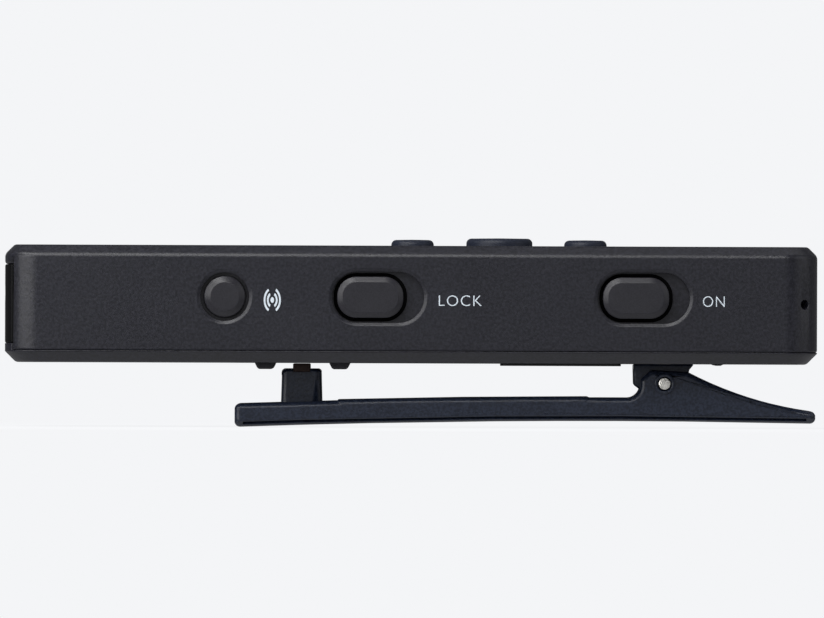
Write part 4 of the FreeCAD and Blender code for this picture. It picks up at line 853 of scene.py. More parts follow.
@dataclass(frozen=True)
class Moulding(Finish):
    """Moulded plastic or rubber with a pebbled grain."""

    colour: Colour
    drift_colour: Colour
    roughness: float = 0.5
    roughness_spread: float = 0.15
    grain_scale: float = 3200.0
    grain_depth: float = 0.006
    grain_strength: float = 0.35
    specular: float = 0.3
    dust: float = 0.03
    handling: float = 0.06

    def inputs(self, bench: Bench) -> Inputs:
        """Grain, touch and dust over a plain dielectric.

        Args:
            bench: The material's nodes.

        Returns:
            A value or a socket for each named input of the shader.
        """
        grain = bench.group(bench.effects.grain, {
            "Vector": bench.place, "Grain Scale": self.grain_scale, "Color": opaque(self.colour),
            "Drift Color": opaque(self.drift_colour), "Roughness": self.roughness,
            "Roughness Spread": self.roughness_spread})
        dust = bench.group(bench.effects.dust, {
            "Vector": bench.place, "Color": grain["Color"], "Amount": self.dust})
        return {
            "Base Color": dust["Color"],
            "Roughness": bench.touched(grain["Roughness"], self.handling),
            "Normal": bench.bump(grain["Height"], self.grain_strength, self.grain_depth),
            "Specular IOR Level": self.specular}


@dataclass(frozen=True)
class Metal(Finish):
    """Plated, tinned or painted metal with fine drawn lines."""

    colour: Colour
    dark_colour: Colour
    roughness: float = 0.25
    roughness_spread: float = 0.12
    line_scale: float = 4000.0
    stretch: Triple = (1.0, 1.0, 0.05)
    metallic: float = 1.0
    depth: float = 0.002
    strength: float = 0.2

    def inputs(self, bench: Bench) -> Inputs:
        """Drawn lines over a metal or a thin paint.

        Args:
            bench: The material's nodes.

        Returns:
            A value or a socket for each named input of the shader.
        """
        stretched = bench.add("ShaderNodeMapping", {"Vector": bench.place, "Scale": self.stretch})
        lines = bench.group(bench.effects.brushing, {
            "Vector": stretched.outputs[0], "Line Scale": self.line_scale,
            "Color": opaque(self.colour), "Dark Color": opaque(self.dark_colour),
            "Roughness": self.roughness, "Roughness Spread": self.roughness_spread})
        return {
            "Base Color": lines["Color"],
            "Roughness": lines["Roughness"],
            "Normal": bench.bump(lines["Height"], self.strength, self.depth),
            "Metallic": self.metallic}


@dataclass(frozen=True)
class CircuitBoard(Finish):
    """Green solder resist over copper tracks, with bare pads."""

    resist: Colour = (0.012, 0.075, 0.035)
    track: Colour = (0.03, 0.13, 0.06)
    pad: Colour = (0.55, 0.5, 0.32)
    track_scale: float = 420.0
    track_width: float = 0.03
    pad_scale: float = 700.0
    pad_edge: tuple[float, float] = (0.1, 0.13)
    roughness: float = 0.28
    handling: float = 0.12
    strength: float = 0.4
    depth: float = 0.02

    def inputs(self, bench: Bench) -> Inputs:
        """Bricks whose joints are the tracks, and cells whose middles are the pads.

        Args:
            bench: The material's nodes.

        Returns:
            A value or a socket for each named input of the shader.
        """
        bricks = bench.add("ShaderNodeTexBrick", {
            "Vector": bench.place, "Scale": self.track_scale, "Mortar Size": self.track_width,
            "Color1": opaque(self.resist), "Color2": opaque(self.resist), "Mortar": opaque(self.track)})
        cells = bench.add("ShaderNodeTexVoronoi", {"Vector": bench.place, "Scale": self.pad_scale})
        pads = bench.spread(cells.outputs["Distance"], 1.0, 0.0, *self.pad_edge)
        return {
            "Base Color": bench.mix_colour(pads, bricks.outputs["Color"], opaque(self.pad)),
            "Metallic": pads,
            "Roughness": bench.touched(self.roughness, self.handling),
            "Normal": bench.bump(bricks.outputs["Fac"], self.strength, self.depth)}


@dataclass(frozen=True)
class ClearMoulding(Finish):
    """Clear or milky plastic that lets light through."""

    colour: Colour = (0.86, 0.9, 0.92)
    milk_colour: Colour = (0.7, 0.76, 0.8)
    transmission: float = 0.8
    roughness: float = 0.15
    cloud_scale: float = 900.0
    handling: float = 0.1

    def inputs(self, bench: Bench) -> Inputs:
        """A slow drift from clear to milky, with touch marks.

        Args:
            bench: The material's nodes.

        Returns:
            A value or a socket for each named input of the shader.
        """
        cloud = bench.noise(bench.place, self.cloud_scale, detail=2.0)
        return {
            "Base Color": bench.mix_colour(cloud, opaque(self.colour), opaque(self.milk_colour)),
            "Roughness": bench.touched(self.roughness, self.handling),
            "Transmission Weight": self.transmission}


@dataclass(frozen=True)
class WovenCloth(Finish):
    """Fine woven screen over the microphone port."""

    colour: Colour = (0.01, 0.01, 0.011)
    thread_colour: Colour = (0.035, 0.035, 0.04)
    thread_scale: float = 600.0
    roughness: float = 0.8
    handling: float = 0.1
    strength: float = 0.6
    depth: float = 0.02

    def inputs(self, bench: Bench) -> Inputs:
        """Two sets of bands across each other, for warp and weft.

        Args:
            bench: The material's nodes.

        Returns:
            A value or a socket for each named input of the shader.
        """
        warp, weft = (
            bench.add("ShaderNodeTexWave", {"Vector": bench.place, "Scale": self.thread_scale},
                      bands_direction=way).outputs["Fac"] for way in "ZX")
        weave = bench.maths("MAXIMUM", warp, weft)
        return {
            "Base Color": bench.mix_colour(weave, opaque(self.colour), opaque(self.thread_colour)),
            "Roughness": bench.touched(self.roughness, self.handling),
            "Normal": bench.bump(weave, self.strength, self.depth)}


FINISHES: dict[str, Finish] = {
    "housing_plastic": Moulding((0.0057, 0.0059, 0.0095), (0.0161, 0.0163, 0.0239), roughness=0.35,
                                grain_scale=2300.0, grain_depth=0.034, grain_strength=0.42, specular=0.42),
    # Painted shade: the housing's plastic made darker for the back cover, whose band under the seam faces
    # down and falls darker in shade.
    "cover_plastic": Moulding((0.0036, 0.0036, 0.0068), (0.0112, 0.0110, 0.0184), roughness=0.35,
                              grain_scale=2300.0, grain_depth=0.034, grain_strength=0.42, specular=0.42),
    "cap_plastic": Moulding((0.0025, 0.0025, 0.003), (0.004, 0.004, 0.0045), roughness=0.42,
                            grain_depth=0.003, specular=0.08, dust=0.0),
    # Painted shade: flat black for the sheets that darken the gaps round the slide knobs.
    "painted_shade_black": Moulding((0.0012, 0.0012, 0.0014), (0.0022, 0.0022, 0.0024), roughness=0.9,
                           grain_scale=6000.0, grain_depth=0.02, specular=0.05, dust=0.0),
    "button_plastic": Moulding((0.0115, 0.0112, 0.0150), (0.0180, 0.0175, 0.0232), roughness=0.36,
                               grain_scale=5200.0, grain_depth=0.006, specular=0.42),
    "key_plastic": Moulding((0.009, 0.012, 0.023), (0.014, 0.018, 0.033), roughness=0.46,
                            grain_scale=6000.0, grain_depth=0.002, specular=0.3),
    "clip_plastic": Moulding((0.0034, 0.0061, 0.0150), (0.0205, 0.0278, 0.0505), roughness=0.33,
                             grain_scale=2800.0, grain_depth=0.02, specular=0.42),
    "pad_rubber": Moulding((0.030, 0.0175, 0.015), (0.041, 0.0255, 0.0215), roughness=0.72,
                           grain_scale=4200.0, grain_depth=0.012, specular=0.2),
    "boot_rubber": Moulding((0.008, 0.008, 0.008), (0.012, 0.012, 0.012), roughness=0.75,
                            grain_depth=0.008, specular=0.2),
    "foam": Moulding((0.03, 0.03, 0.03), (0.055, 0.055, 0.055), roughness=0.95, grain_scale=1800.0,
                     grain_depth=0.12, grain_strength=0.9, specular=0.1),
    "black_moulding": Moulding((0.007, 0.007, 0.0075), (0.01, 0.01, 0.011), roughness=0.5,
                               grain_depth=0.004, specular=0.3),
    "white_moulding": Moulding((0.6, 0.59, 0.56), (0.66, 0.65, 0.61), roughness=0.45,
                               grain_depth=0.004, specular=0.4),
    "ceramic": Moulding((0.66, 0.65, 0.61), (0.72, 0.71, 0.67), roughness=0.6, grain_scale=5000.0,
                        grain_depth=0.01, specular=0.4),
    "plate_steel": Metal((0.006, 0.006, 0.0065), (0.009, 0.009, 0.01), roughness=0.4, metallic=0.0,
                         stretch=(0.05, 1.0, 1.0)),
    "nickel": Metal((0.86, 0.84, 0.78), (0.5, 0.45, 0.36), roughness=0.2, stretch=(1.0, 0.05, 1.0)),
    "peened_steel": Metal((1.0, 0.98, 0.92), (0.55, 0.49, 0.38), roughness=0.25, line_scale=5000.0,
                          stretch=(1.0, 1.0, 1.0), depth=0.3),
    "dark_steel": Metal((0.13, 0.13, 0.14), (0.08, 0.08, 0.085), roughness=0.32),
    "spring_steel": Metal((0.42, 0.42, 0.43), (0.3, 0.3, 0.31), roughness=0.24),
    "cell_foil": Metal((0.55, 0.56, 0.58), (0.47, 0.48, 0.5), roughness=0.35, stretch=(0.2, 1.0, 1.0),
                       line_scale=1500.0, depth=0.01),
    "tin": Metal((0.55, 0.55, 0.54), (0.46, 0.46, 0.45), roughness=0.34, stretch=(0.05, 1.0, 1.0)),
    "board": CircuitBoard(),
    "lamp": ClearMoulding((0.85, 0.83, 0.6), (0.8, 0.76, 0.5), transmission=0.5),
    "light_pipe": ClearMoulding(),
    "mesh_cloth": WovenCloth(),
    "ink": Moulding((0.56, 0.62, 0.68), (0.66, 0.73, 0.79), roughness=0.5, grain_scale=6000.0,
                    grain_depth=0.002, specular=0.3, dust=0.0),
}


class Palette:
    """Every finish as a material, built when it is first asked for."""

    def __init__(self) -> None:
        """Start with the shared effects and no material."""
        self.effects = SharedEffects()
        self.made: dict[str, bpy.types.Material] = {}

    def __getitem__(self, finish: str) -> bpy.types.Material:
        """The material of a finish.

        Args:
            finish: A key of the finishes.

        Returns:
            The material, built now if it is new.
        """
        if finish not in self.made:
            self.made[finish] = FINISHES[finish].build(finish, self.effects)
        return self.made[finish]

    def dress(self, piece: Piece, finish: str) -> None:
        """Give a piece one finish and no other."""
        piece.data.materials.clear()
        piece.data.materials.append(self[finish])

    def settle(self, piece: Piece, finish: str, body: str) -> None:
        """Dress a new piece, let it move with its body and report it.

        Args:
            piece: The mesh object.
            finish: A key of the finishes.
            body: The body that carries the piece.
        """
        self.dress(piece, finish)
        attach(piece, body)
        LOG.info("%s: %d faces", piece.name, len(piece.data.polygons))

    def dress_solids(self, frame: dict[str, object]) -> None:
        """Dress every solid in the slot that the record gives it.

        Args:
            frame: The record, and the loaded solids by their nodes' names.
        """
        for part in frame["record"]["subparts"]:
            self.dress(frame["nodes"][part["node"]], part["material_slot"])
        LOG.info("solids dressed: %d", len(frame["nodes"]))


# Sub-assemblies

@dataclass(frozen=True)
class Block:
    """The housing's outer form."""

    length: float = 73.0
    width: float = 24.0
    corner: float = 3.0
    back: float = 5.759
    front: float = 16.329
    skin: float = 0.03

    def gap(self, spots: np.ndarray) -> np.ndarray:
        """How far inside the rounded outline each spot is.

        The outline is a rectangle with round corners. The gap is the corner radius less the
        distance from the rectangle through the corner centres.

        Args:
            spots: Rows of x, y and z in millimetres.

        Returns:
            The gap of each spot in millimetres.
        """
        reach = np.array((self.length / 2 - self.corner, self.width / 2 - self.corner))
        past = np.clip(np.abs(spots[:, :2]) - reach, 0.0, None)
        inside = np.clip(reach - np.abs(spots[:, :2]), 0.0, None).min(axis=1)
        outer = self.corner - np.linalg.norm(past, axis=1)
        return np.where((past > 0).any(axis=1), outer, self.corner + inside)

    def on_side(self, spots: np.ndarray) -> np.ndarray:
        """Which spots lie on the side and end faces."""
        return self.gap(spots) < self.skin

    def on_front(self, spots: np.ndarray) -> np.ndarray:
        """Which spots lie on the front face."""
        return spots[:, 2] > self.front - self.skin

    def on_back(self, spots: np.ndarray) -> np.ndarray:
        """Which spots lie on or below the back face."""
        return spots[:, 2] < self.back + self.skin


@dataclass(frozen=True)
class Shell:
    """The housing, the back cover and the end cap."""

    block: Block = Block()
    rim_round: float = 0.06
    top_round: float = 0.16
    side_round: float = 0.26
    key_hole_round: float = 0.07
    key_hole_gap: float = 1.5
    port_round: float = 0.12
    port_turn: float = 60.0
    seam_round: float = 0.2
    cover_round: float = 0.045
    rib_round: float = 0.2
    cap_round: float = 0.16
    seam_height: float = 6.839
    seam_zone: float = 0.03
    openings: Space = Space((-35.0, SIDE_FACE - 0.01, 7.2), (35.0, SIDE_FACE + 0.01, 15.0))
    port: Space = Space((34.2, -12.1, 10.2), (36.6, -10.2, 12.4))
    cap_end: Space = Space((-36.51, -11.0, 7.4), (-35.3, 11.0, 14.6))
    slope_moves: Moves = ((2, 15.459, 15.48),)
    cap_moves: Moves = ((2, 7.509, 7.4645), (2, 14.509, 14.5535))

    def at_key_holes(self, spots: np.ndarray) -> np.ndarray:
        """Which spots lie on the front face and away from its outer edge."""
        return self.block.on_front(spots) & (self.block.gap(spots) > self.key_hole_gap)

    def at_seam(self, spots: np.ndarray) -> np.ndarray:
        """Which spots lie on the joint of housing and cover."""
        return self.block.on_side(spots) & (np.abs(spots[:, 2] - self.seam_height) < self.seam_zone)

    def build(self, palette: Palette) -> None:
        """Round the outer edges of the mouldings and dress them.

        Args:
            palette: The materials.
        """
        block = self.block
        housing = SoftCopy("front_housing", (
            SoftEdge(self.side_round, block.on_side),
            SoftEdge(self.top_round, block.on_front),
            SoftEdge(self.key_hole_round, self.at_key_holes),
            SoftEdge(self.rim_round, self.openings),
            SoftEdge(self.port_round, self.port, least_turn=self.port_turn),
            SoftEdge(self.seam_round, self.at_seam),
        ), moves=self.slope_moves, lip=Lip(self.openings), segments=4)
        cover = SoftCopy("back_cover", (
            SoftEdge(self.cover_round, block.on_side),
            SoftEdge(self.rib_round, block.on_back),
        ))
        cap = SoftCopy("end_cap", (SoftEdge(self.cap_round, self.cap_end),), moves=self.cap_moves)
        palette.settle(housing.build(), "housing_plastic", "unit")
        # The back cover takes the darker copy of the housing's plastic, painted shade for its downward
        # band.
        palette.settle(cover.build(), "cover_plastic", "unit")
        palette.settle(cap.build(), "cap_plastic", "unit")


@dataclass(frozen=True)
class SlideKnob:
    """One slide switch's knob: a stadium with a soft bevel, on its stem."""

    name: str
    body: str
    x: float
    z: float = 11.689
    half_length: float = 2.975
    half_width: float = 1.85
    corner: float = 1.72
    bevel: float = 0.48
    rise: float = 0.27
    edge_round: float = 0.12
    top_round: float = 0.192
    proud: float = 0.4
    hollow: float = 0.012
    hollow_inset: float = 1.48
    floor: float = -0.85
    stem_half_length: float = 0.8
    stem_half_width: float = 1.1
    stem_corner: float = 0.1
    stem_end: float = -1.85
    # Painted shade: a black sheet this far past the knob, at these heights, darkens the gap round it.
    shade_reach: float = 0.32
    shade_low: float = -0.89
    shade_high: float = -0.78

    def shade_sheet(self, palette: Palette) -> None:
        """Lay a thin black sheet under the knob, a little larger than it, as painted shade for the dark gap
        round the knob.

        Args:
            palette: The materials.
        """
        reach = self.shade_reach
        sheet = Loft(self.half_length + reach, self.half_width + reach, self.corner + reach).surface(
            np.array(((0.0, self.shade_low), (0.0, self.shade_high))))
        seat = Seat(self.x, SIDE_FACE, self.z, Facing.SIDE)
        piece = add_object(f"{self.name}_seal", seat.place(sheet.points), sheet.polygons)
        palette.settle(piece, "painted_shade_black", self.body)

    def build(self, palette: Palette) -> None:
        """Carry the stadium outline up its bevel and over the flat top.

        Args:
            palette: The materials.
        """
        head = soft_line((
            (0.0, self.floor, 0.0),
            (0.0, self.proud - self.rise, self.edge_round),
            (self.bevel, self.proud, self.top_round),
            (self.hollow_inset, self.proud - self.hollow, 0.0),
        ))
        stem = np.array(((0.0, self.stem_end), (0.0, self.floor)))
        knob = Loft(self.half_length, self.half_width, self.corner).surface(head)
        post = Loft(self.stem_half_length, self.stem_half_width, self.stem_corner, steps=4).surface(stem)
        seat = Seat(self.x, SIDE_FACE, self.z, Facing.SIDE)
        piece = stand_in(self.name, knob.joined(post), seat)
        palette.settle(piece, "button_plastic", self.body)


@dataclass(frozen=True)
class RoundKey:
    """A round piece that is pressed, with the flange that holds it in and the stem under it."""

    node: str
    body: str
    finish: str
    seat: Seat
    radius: float
    flange_lap: float
    flange_low: float
    flange_high: float
    stem_end: float
    stem_radius: float = 0.8
    arc_steps: int = 6
    turn_steps: int = 20

    def head(self) -> Line:
        """The head's half section: inset from its side, height and corner radius."""
        raise NotImplementedError

    def build(self, palette: Palette) -> None:
        """Turn the half section about the piece's own axis.

        Args:
            palette: The materials.
        """
        rim = self.radius + self.flange_lap
        stem = rim - self.stem_radius
        section = soft_line((
            (stem, self.stem_end, 0.0),
            (stem, self.flange_low, 0.0),
            (0.0, self.flange_low, 0.0),
            (0.0, self.flange_high, 0.0),
            (self.flange_lap, self.flange_high, 0.0),
            *((self.flange_lap + inset, height, bend) for inset, height, bend in self.head()),
        ), steps=self.arc_steps)
        piece = stand_in(self.node, Loft(rim, rim, rim, steps=self.turn_steps).surface(section), self.seat)
        palette.settle(piece, self.finish, self.body)


@dataclass(frozen=True)
class SideButton(RoundKey):
    """The button beside the slides, with a slightly hollow top."""

    bevel: float = 0.55
    rise: float = 0.33
    edge_round: float = 0.14
    top_round: float = 0.182
    proud: float = 0.2
    hollow: float = 0.03

    def head(self) -> Line:
        """A bevel round a top that falls a little towards its middle."""
        return (
            (0.0, self.proud - self.rise, self.edge_round),
            (self.bevel, self.proud, self.top_round),
            (self.radius - LAST_RING, self.proud - self.hollow, 0.0),
        )


@dataclass(frozen=True)
class FrontKey(RoundKey):
    """One key of the front face, with a broad round edge and a low crown."""

    top: float = 16.899
    edge_round: float = 0.46
    crown: float = 0.03

    def head(self) -> Line:
        """A round edge under the crown."""
        return (
            (0.0, self.top - self.crown, self.edge_round),
            (self.radius - LAST_RING, self.top, 0.0),
        )


def front_key(name: str, x: float, radius: float, top: float) -> FrontKey:
    """A key of the front face, by its name, its place along X, its radius and its top."""
    return FrontKey(
        f"key_{name}", f"{name}_key", "key_plastic", Seat(x, 0.0, 0.0, Facing.FRONT), radius,
        flange_lap=0.45, flange_low=14.579, flange_high=15.079, stem_end=12.459, arc_steps=8,
        turn_steps=22, top=top)


@dataclass(frozen=True)
class Controls:
    """Everything that is pressed or slid."""

    slides: tuple[SlideKnob, ...] = (
        SlideKnob("hold_knob", "hold_slider", x=-3.67),
        SlideKnob("power_knob", "power_slider", x=20.2),
    )
    keys: tuple[RoundKey, ...] = (
        SideButton("pair_button", "side_button", "button_plastic",
                   Seat(-16.74, SIDE_FACE, 11.709, Facing.SIDE), radius=1.85, flange_lap=0.4,
                   flange_low=-1.85, flange_high=-1.35, stem_end=-2.2),
        front_key("previous", x=0.11, radius=1.92, top=16.899),
        front_key("play", x=7.94, radius=2.98, top=17.049),
        front_key("next", x=15.7, radius=1.92, top=16.899),
    )

    def build(self, palette: Palette) -> None:
        """Build every control, and after them the black sheets of painted shade under the slides.

        Args:
            palette: The materials.
        """
        for control in (*self.slides, *self.keys):
            control.build(palette)
        for slide in self.slides:
            slide.shade_sheet(palette)


@dataclass(frozen=True)
class PinEnds:
    """The peened ends of the hinge pin and the rounded collars round them."""

    x: float = 22.82
    z: float = 3.999
    face: float = 7.6
    radius: float = 0.52
    dome: float = 0.05
    dome_edge: float = 0.02
    dome_slope: float = 0.286
    ring_inner: float = 0.64
    ring_outer: float = 0.93
    ring_rise: float = 0.13
    ring_drop: float = 0.24
    ring_steps: int = 13
    turn_steps: int = 16

    def dome_section(self) -> np.ndarray:
        """A low dome, from its rim to its middle, as insets and heights."""
        return soft_line((
            (0.0, -self.dome, 0.0),
            (0.0, self.dome_edge, self.dome_edge),
            (self.dome_slope, self.dome, self.dome),
            (self.radius - LAST_RING, self.dome, 0.0),
        ))

    def ring_section(self) -> np.ndarray:
        """A half-round collar, from its outer to its inner foot, as insets and heights.

        The inset is half the width times one less the cosine of the angle, and the height is
        the rise times its sine.

        Returns:
            Rows of inset and height.
        """
        broad = self.ring_outer - self.ring_inner
        turns = np.linspace(0.0, math.pi, self.ring_steps)
        arch = np.column_stack(((1.0 - np.cos(turns)) * broad / 2, np.sin(turns) * self.ring_rise))
        return np.vstack(((0.0, -self.ring_drop), arch, (broad, -self.ring_drop)))

    def turned(self, name: str, radius: float, section: np.ndarray, far: bool) -> Piece:
        """Turn a half section about the pin's axis.

        Args:
            name: The piece's name without its end.
            radius: The outer radius.
            section: Rows of inset and height.
            far: Whether it stands on the far end, where it is mirrored across the part.

        Returns:
            The piece.
        """
        skin = Loft(radius, radius, radius, steps=self.turn_steps).surface(section)
        points = Seat(self.x, -self.face, self.z, Facing.SIDE).place(skin.points)
        if not far:
            return add_object(f"{name}_near", points, skin.polygons)
        turned_round = [corners[::-1] for corners in skin.polygons]
        return add_object(f"{name}_far", points * (1.0, -1.0, 1.0), turned_round)

    def build(self, palette: Palette) -> None:
        """Build both ends.

        Args:
            palette: The materials.
        """
        for far in (False, True):
            head = self.turned("pin_head", self.radius, self.dome_section(), far)
            ring = self.turned("pin_collar", self.ring_outer, self.ring_section(), far)
            palette.settle(head, "peened_steel", "unit")
            palette.settle(ring, "clip_plastic", "lever")


@dataclass(frozen=True)
class Clip:
    """The sprung clip: lever, jaw pad and bracket."""

    edge_round: float = 0.2
    rim_round: float = 0.5
    rim_turn: float = 60.0
    lip_round: float = 0.08
    jaw_round: float = 0.5
    collar_round: float = 0.045
    pocket_round: float = 0.03
    pad_round: float = 0.1
    bracket_round: float = 0.2
    side_face: Space = Space((-16.0, 7.4, 0.0), (36.5, 7.55, 6.0))
    collar: Space = Space((21.8, -10.0, 3.0), (23.85, 10.0, 5.0))
    jaw: Space = Space((-12.0, -5.2, 3.0), (-7.5, 5.2, 5.4))
    pocket: Space = Space((-10.8, -5.1, 4.9), (-8.8, 5.1, 5.4))
    pocket_moves: Moves = ((0, -10.64, -10.58), (0, -9.02, -9.08))
    groove: Groove = Groove(face=7.5, near=0.1, far=0.35, left=-15.1, right=35.6, depth=0.3)

    def on_side(self, spots: np.ndarray) -> np.ndarray:
        """Which spots lie on the lever's two side faces."""
        return self.side_face(np.abs(spots) * (0, 1, 0) + spots * (1, 0, 1))

    def build(self, palette: Palette) -> None:
        """Round the clip's edges and dress its pieces.

        Args:
            palette: The materials.
        """
        lever = SoftCopy("clip_lever", (
            SoftEdge(self.edge_round, EVERYWHERE),
            SoftEdge(self.lip_round, self.on_side),
            SoftEdge(self.rim_round, self.on_side, least_turn=self.rim_turn),
            SoftEdge(self.collar_round, self.collar),
            SoftEdge(self.jaw_round, self.jaw),
            SoftEdge(self.pocket_round, self.pocket),
            SoftEdge(0.0, self.groove.holds),
        ), moves=self.pocket_moves, groove=self.groove)
        pad = SoftCopy("jaw_pad", (SoftEdge(self.pad_round, EVERYWHERE),))
        bracket = SoftCopy("clip_base", (SoftEdge(self.bracket_round, EVERYWHERE),))
        palette.settle(lever.build(), "clip_plastic", "lever")
        palette.settle(pad.build(), "pad_rubber", "lever")
        palette.settle(bracket.build(), "clip_plastic", "unit")


@dataclass(frozen=True)
class Marks:
    """Pale printed signs beside the controls."""

    height: float = 11.41
    letter_height: float = 0.95
    letter_space: float = 1.12
    letter_swell: float = -0.012
    proud: float = 0.008
    words: tuple[tuple[str, str, float, float], ...] = (
        ("mark_lock", "LOCK", 2.48, 3.86),
        ("mark_on", "ON", 26.2, 1.95),
    )
    wave_x: float = -12.47
    wave_stroke: float = 0.16
    wave_reaches: tuple[float, ...] = (0.4, 0.69)
    wave_spread: float = 62.0
    wave_height: float = 1.5
    wave_steps: int = 25
    dot_radius: float = 0.17
    dot_steps: int = 33

    def word(self, name: str, text: str, left: float, width: float) -> Piece:
        """A word in plain capitals, stretched to its place.

        Args:
            name: The piece's name.
            text: The letters.
            left: The left edge of the first letter.
            width: From that edge to the right edge of the last letter.

        Returns:
            The word as a flat mesh.
        """
        curve = bpy.data.curves.new(name, "FONT")
        curve.body = text
        curve.space_character = self.letter_space
        curve.offset = self.letter_swell
        written = linked(f"{name}_letters", curve)
        bpy.context.view_layer.update()
        mesh = bpy.data.meshes.new_from_object(
            written.evaluated_get(bpy.context.evaluated_depsgraph_get()))
        bpy.data.objects.remove(written)
        flat = read(mesh.vertices, "co", np.float32, 3).astype(float)
        low, high = flat.min(axis=0), flat.max(axis=0)
        flat[:, 0] = (flat[:, 0] - low[0]) / (high[0] - low[0]) * width
        flat[:, 1] = ((flat[:, 1] - low[1]) / (high[1] - low[1]) - 0.5) * self.letter_height
        flat[:, 2] = self.proud
        placed = Seat(left, SIDE_FACE, self.height, Facing.SIDE).place(flat)
        mesh.vertices.foreach_set("co", placed.astype(np.float32).ravel())
        mesh.update()
        return linked(name, mesh)

    def wave(self) -> Piece:
        """A dot between two pairs of arcs, for a radio link.

        Each line's points are its radius times the cosine and sine of angles about one level.

        Returns:
            The sign as a flat mesh.
        """
        spread = math.radians(self.wave_spread)
        turns = np.linspace(-spread, spread, self.wave_steps)
        circle = ways_round(np.linspace(0.0, 2 * math.pi, self.dot_steps))
        sign = ribbon(circle * self.dot_radius / 2, self.dot_radius)
        for reach in self.wave_reaches:
            for side in (0.0, math.pi):
                sign = sign.joined(ribbon(ways_round(turns + side) * reach, self.wave_stroke))
        points = sign.points * (1.0, self.wave_height, 1.0) + (0.0, 0.0, self.proud)
        seat = Seat(self.wave_x, SIDE_FACE, self.height, Facing.SIDE)
        return add_object("mark_radio", seat.place(points), sign.polygons)

    def build(self, palette: Palette) -> None:
        """Print every mark on the side face.

        Args:
            palette: The materials.
        """
        for piece in (self.wave(), *(self.word(*row) for row in self.words)):
            palette.settle(piece, "ink", "unit")


# Studio

@dataclass(frozen=True)
class SoftBox:
    """A rectangular lamp that looks at one point, in metres and watts."""

    name: str
    spot: Triple
    size: tuple[float, float]
    power: float

    def build(self, target: Vector) -> None:
        """Hang the lamp and turn it to the target.

        Args:
            target: The point that it looks at.
        """
        data = bpy.data.lights.new(self.name, "AREA")
        data.shape = "RECTANGLE"
        data.size, data.size_y = self.size
        data.energy = self.power
        lamp = linked(self.name, data)
        turn = (target - Vector(self.spot)).to_track_quat("-Z", "Y").to_matrix().to_4x4()
        lamp.matrix_world = Matrix.Translation(self.spot) @ turn


def rays(wiring: Wiring) -> tuple[Socket, Socket]:
    """Whether a ray comes from the camera, and whether from a mirror or through glass.

    Args:
        wiring: The nodes of a world or a material.

    Returns:
        Both answers, as 1 or 0.
    """
    path = wiring.add("ShaderNodeLightPath").outputs
    shiny = wiring.maths("MAXIMUM", path["Is Glossy Ray"], path["Is Transmission Ray"])
    return path["Is Camera Ray"], shiny


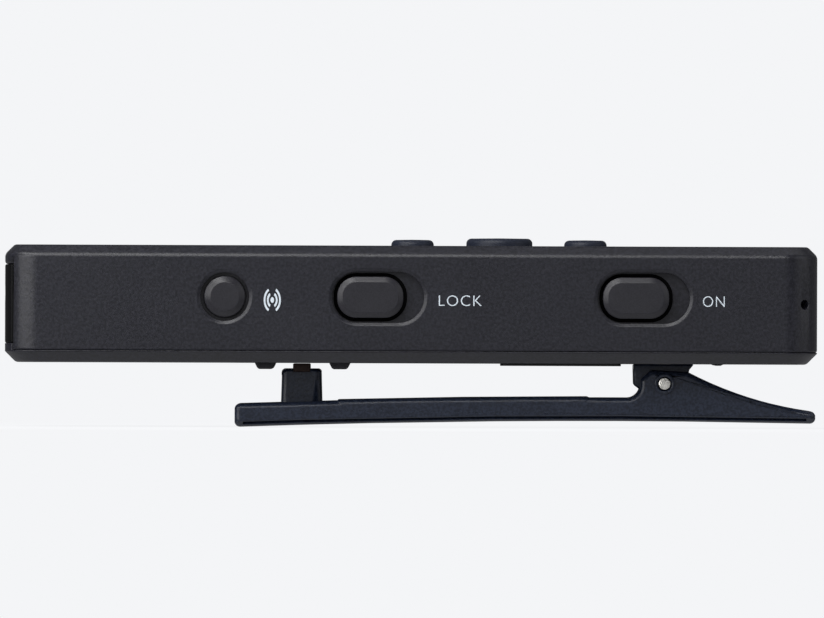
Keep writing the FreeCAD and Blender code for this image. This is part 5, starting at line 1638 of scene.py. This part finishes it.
@dataclass(frozen=True)
class Studio:
    """Floor, surroundings, lamps and camera, in metres and degrees."""

    pale: Colour = (0.905, 0.913, 0.930)
    room_level: float = 0.26
    dim_level: float = 0.15
    below_level: float = 0.8
    card_level: float = 1.0
    behind: tuple[float, float] = (0.97, 0.995)
    card: tuple[float, float] = (-0.99, -0.95)
    bounce: float = 0.45
    floor_reach: float = 3.0
    floor_drop: float = 0.00003
    floor_level: float = 0.75
    shadow_share: float = 0.08
    shadow_near: float = 0.04
    shadow_far: float = 0.09
    camera_distance: float = 2.5
    view_width: float = 0.07398
    view_x: float = 0.00008
    view_z: float = 0.01065
    clip_near: float = 0.01
    clip_far: float = 20.0
    roll: float = 0.206
    sensor: float = 36.0
    lamps: tuple[SoftBox, ...] = (
        SoftBox("Key lamp", spot=(-0.12, -0.14, 0.27), size=(0.4, 0.08), power=0.62),
        SoftBox("Front lamp", spot=(-0.1, -0.25, 0.2), size=(0.4, 0.05), power=0.4),
        SoftBox("Top lamp", spot=(0.03, -0.04, 0.3), size=(0.5, 0.06), power=0.1),
        SoftBox("Left lamp", spot=(-0.16, -0.15, 0.02), size=(0.2, 0.2), power=0.36),
        SoftBox("Right lamp", spot=(0.2, -0.08, 0.08), size=(0.2, 0.2), power=0.08),
    )

    def surroundings(self) -> None:
        """A pale room that lights more softly than it looks.

        Mirrors and glass see it at full strength behind the object, a white card before it and
        a dimmer room all round, by how far their ray points along Y.
        """
        world = bpy.data.worlds.new("Room")
        world.use_nodes = True
        bpy.context.scene.world = world
        wiring = Wiring(world.node_tree)
        wiring.tree.nodes.clear()
        seen, shiny = rays(wiring)
        ray = wiring.add("ShaderNodeTexCoord").outputs["Generated"]
        behind = wiring.add("ShaderNodeSeparateXYZ", {"0": ray}).outputs["Y"]
        wall = wiring.spread(behind, self.dim_level, 1.0, *self.behind)
        card = wiring.spread(behind, self.card_level, self.dim_level, *self.card)
        mirrored = wiring.maths("MAXIMUM", wall, card)
        lit = wiring.spread(shiny, self.room_level, mirrored)
        strength = wiring.spread(seen, lit, 1.0)
        room = wiring.add("ShaderNodeBackground", {"Color": opaque(self.pale), "Strength": strength})
        wiring.add("ShaderNodeOutputWorld", {"Surface": room.outputs[0]})

    def floor(self) -> None:
        """A plain pale floor under the clip that keeps a soft shadow near the object.

        Seen directly it is a glow with a share of lit paint. The share falls to nothing away from
        the object, and the glow makes up for what unshaded paint lacks. Mirrors and glass see the
        glow as bright as the room where they look level and brighter where they look down, and
        the object is lit by duller paint.
        """
        reach = self.floor_reach
        corners = np.array(((-reach, -reach), (reach, -reach), (reach, reach), (-reach, reach)))
        points = np.column_stack((corners, np.full(4, -self.floor_drop)))
        floor = add_object("Floor", points, [(0, 1, 2, 3)])
        material = bpy.data.materials.new("Floor paint")
        material.use_nodes = True
        wiring = Wiring(material.node_tree)
        wiring.tree.nodes.clear()
        seen, shiny = rays(wiring)
        place = wiring.add("ShaderNodeTexCoord").outputs["Object"]
        away = wiring.add("ShaderNodeVectorMath", {"0": place}, operation="LENGTH").outputs["Value"]
        shade = wiring.spread(away, self.shadow_share, 0.0, self.shadow_near, self.shadow_far)
        rest = wiring.maths("SUBTRACT", 1.0, shade)
        lack = wiring.maths("SUBTRACT", 1.0, wiring.maths("MULTIPLY", shade, self.floor_level))
        back = wiring.add("ShaderNodeNewGeometry").outputs["Incoming"]
        way = wiring.add("ShaderNodeSeparateXYZ", {"0": back}).outputs
        wall = wiring.spread(way["Y"], 1.0, 0.0, *(-bound for bound in self.behind[::-1]))
        below = wiring.spread(way["Z"], self.dim_level, self.below_level)
        mirrored = wiring.maths("MAXIMUM", wall, below)
        strength = wiring.spread(seen, mirrored, wiring.maths("DIVIDE", lack, rest))
        glowing = wiring.spread(seen, shiny, rest)
        dull = tuple(part * self.bounce for part in self.pale)
        colour = wiring.mix_colour(seen, opaque(dull), opaque(self.pale))
        paint = wiring.add("ShaderNodeBsdfDiffuse", {"Color": colour})
        glow = wiring.add("ShaderNodeEmission", {"Color": opaque(self.pale), "Strength": strength})
        mix = wiring.add("ShaderNodeMixShader", {
            "0": glowing, "1": paint.outputs[0], "2": glow.outputs[0]})
        wiring.add("ShaderNodeOutputMaterial", {"Surface": mix.outputs[0]})
        floor.data.materials.append(material)

    def camera(self) -> None:
        """A long lens, level with the side face."""
        data = bpy.data.cameras.new("View")
        data.sensor_width = self.sensor
        data.lens = self.sensor * self.camera_distance / self.view_width
        data.clip_start = self.clip_near
        data.clip_end = self.clip_far
        camera = linked("View", data)
        place = Vector((self.view_x, SIDE_FACE * MM - self.camera_distance, self.view_z))
        level = Matrix.Rotation(math.radians(90), 4, "X")
        camera.matrix_world = (
            Matrix.Translation(place) @ level @ Matrix.Rotation(math.radians(self.roll), 4, "Z"))
        bpy.context.scene.camera = camera

    def build(self) -> None:
        """Set the whole studio up."""
        self.surroundings()
        self.floor()
        for lamp in self.lamps:
            lamp.build(Vector((0.0, 0.0, self.view_z)))
        self.camera()
        bpy.context.scene.view_settings.view_transform = "Standard"


def main() -> None:
    """Dress the solids, add the finer pieces and set the studio up."""
    logging.basicConfig(level=logging.INFO, format="%(name)s: %(message)s")
    for item in list(bpy.data.objects):
        bpy.data.objects.remove(item)
    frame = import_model()
    palette = Palette()
    palette.dress_solids(frame)
    Shell().build(palette)
    Controls().build(palette)
    Clip().build(palette)
    PinEnds().build(palette)
    Marks().build(palette)
    Studio().build()


if __name__ == "__main__":
    main()
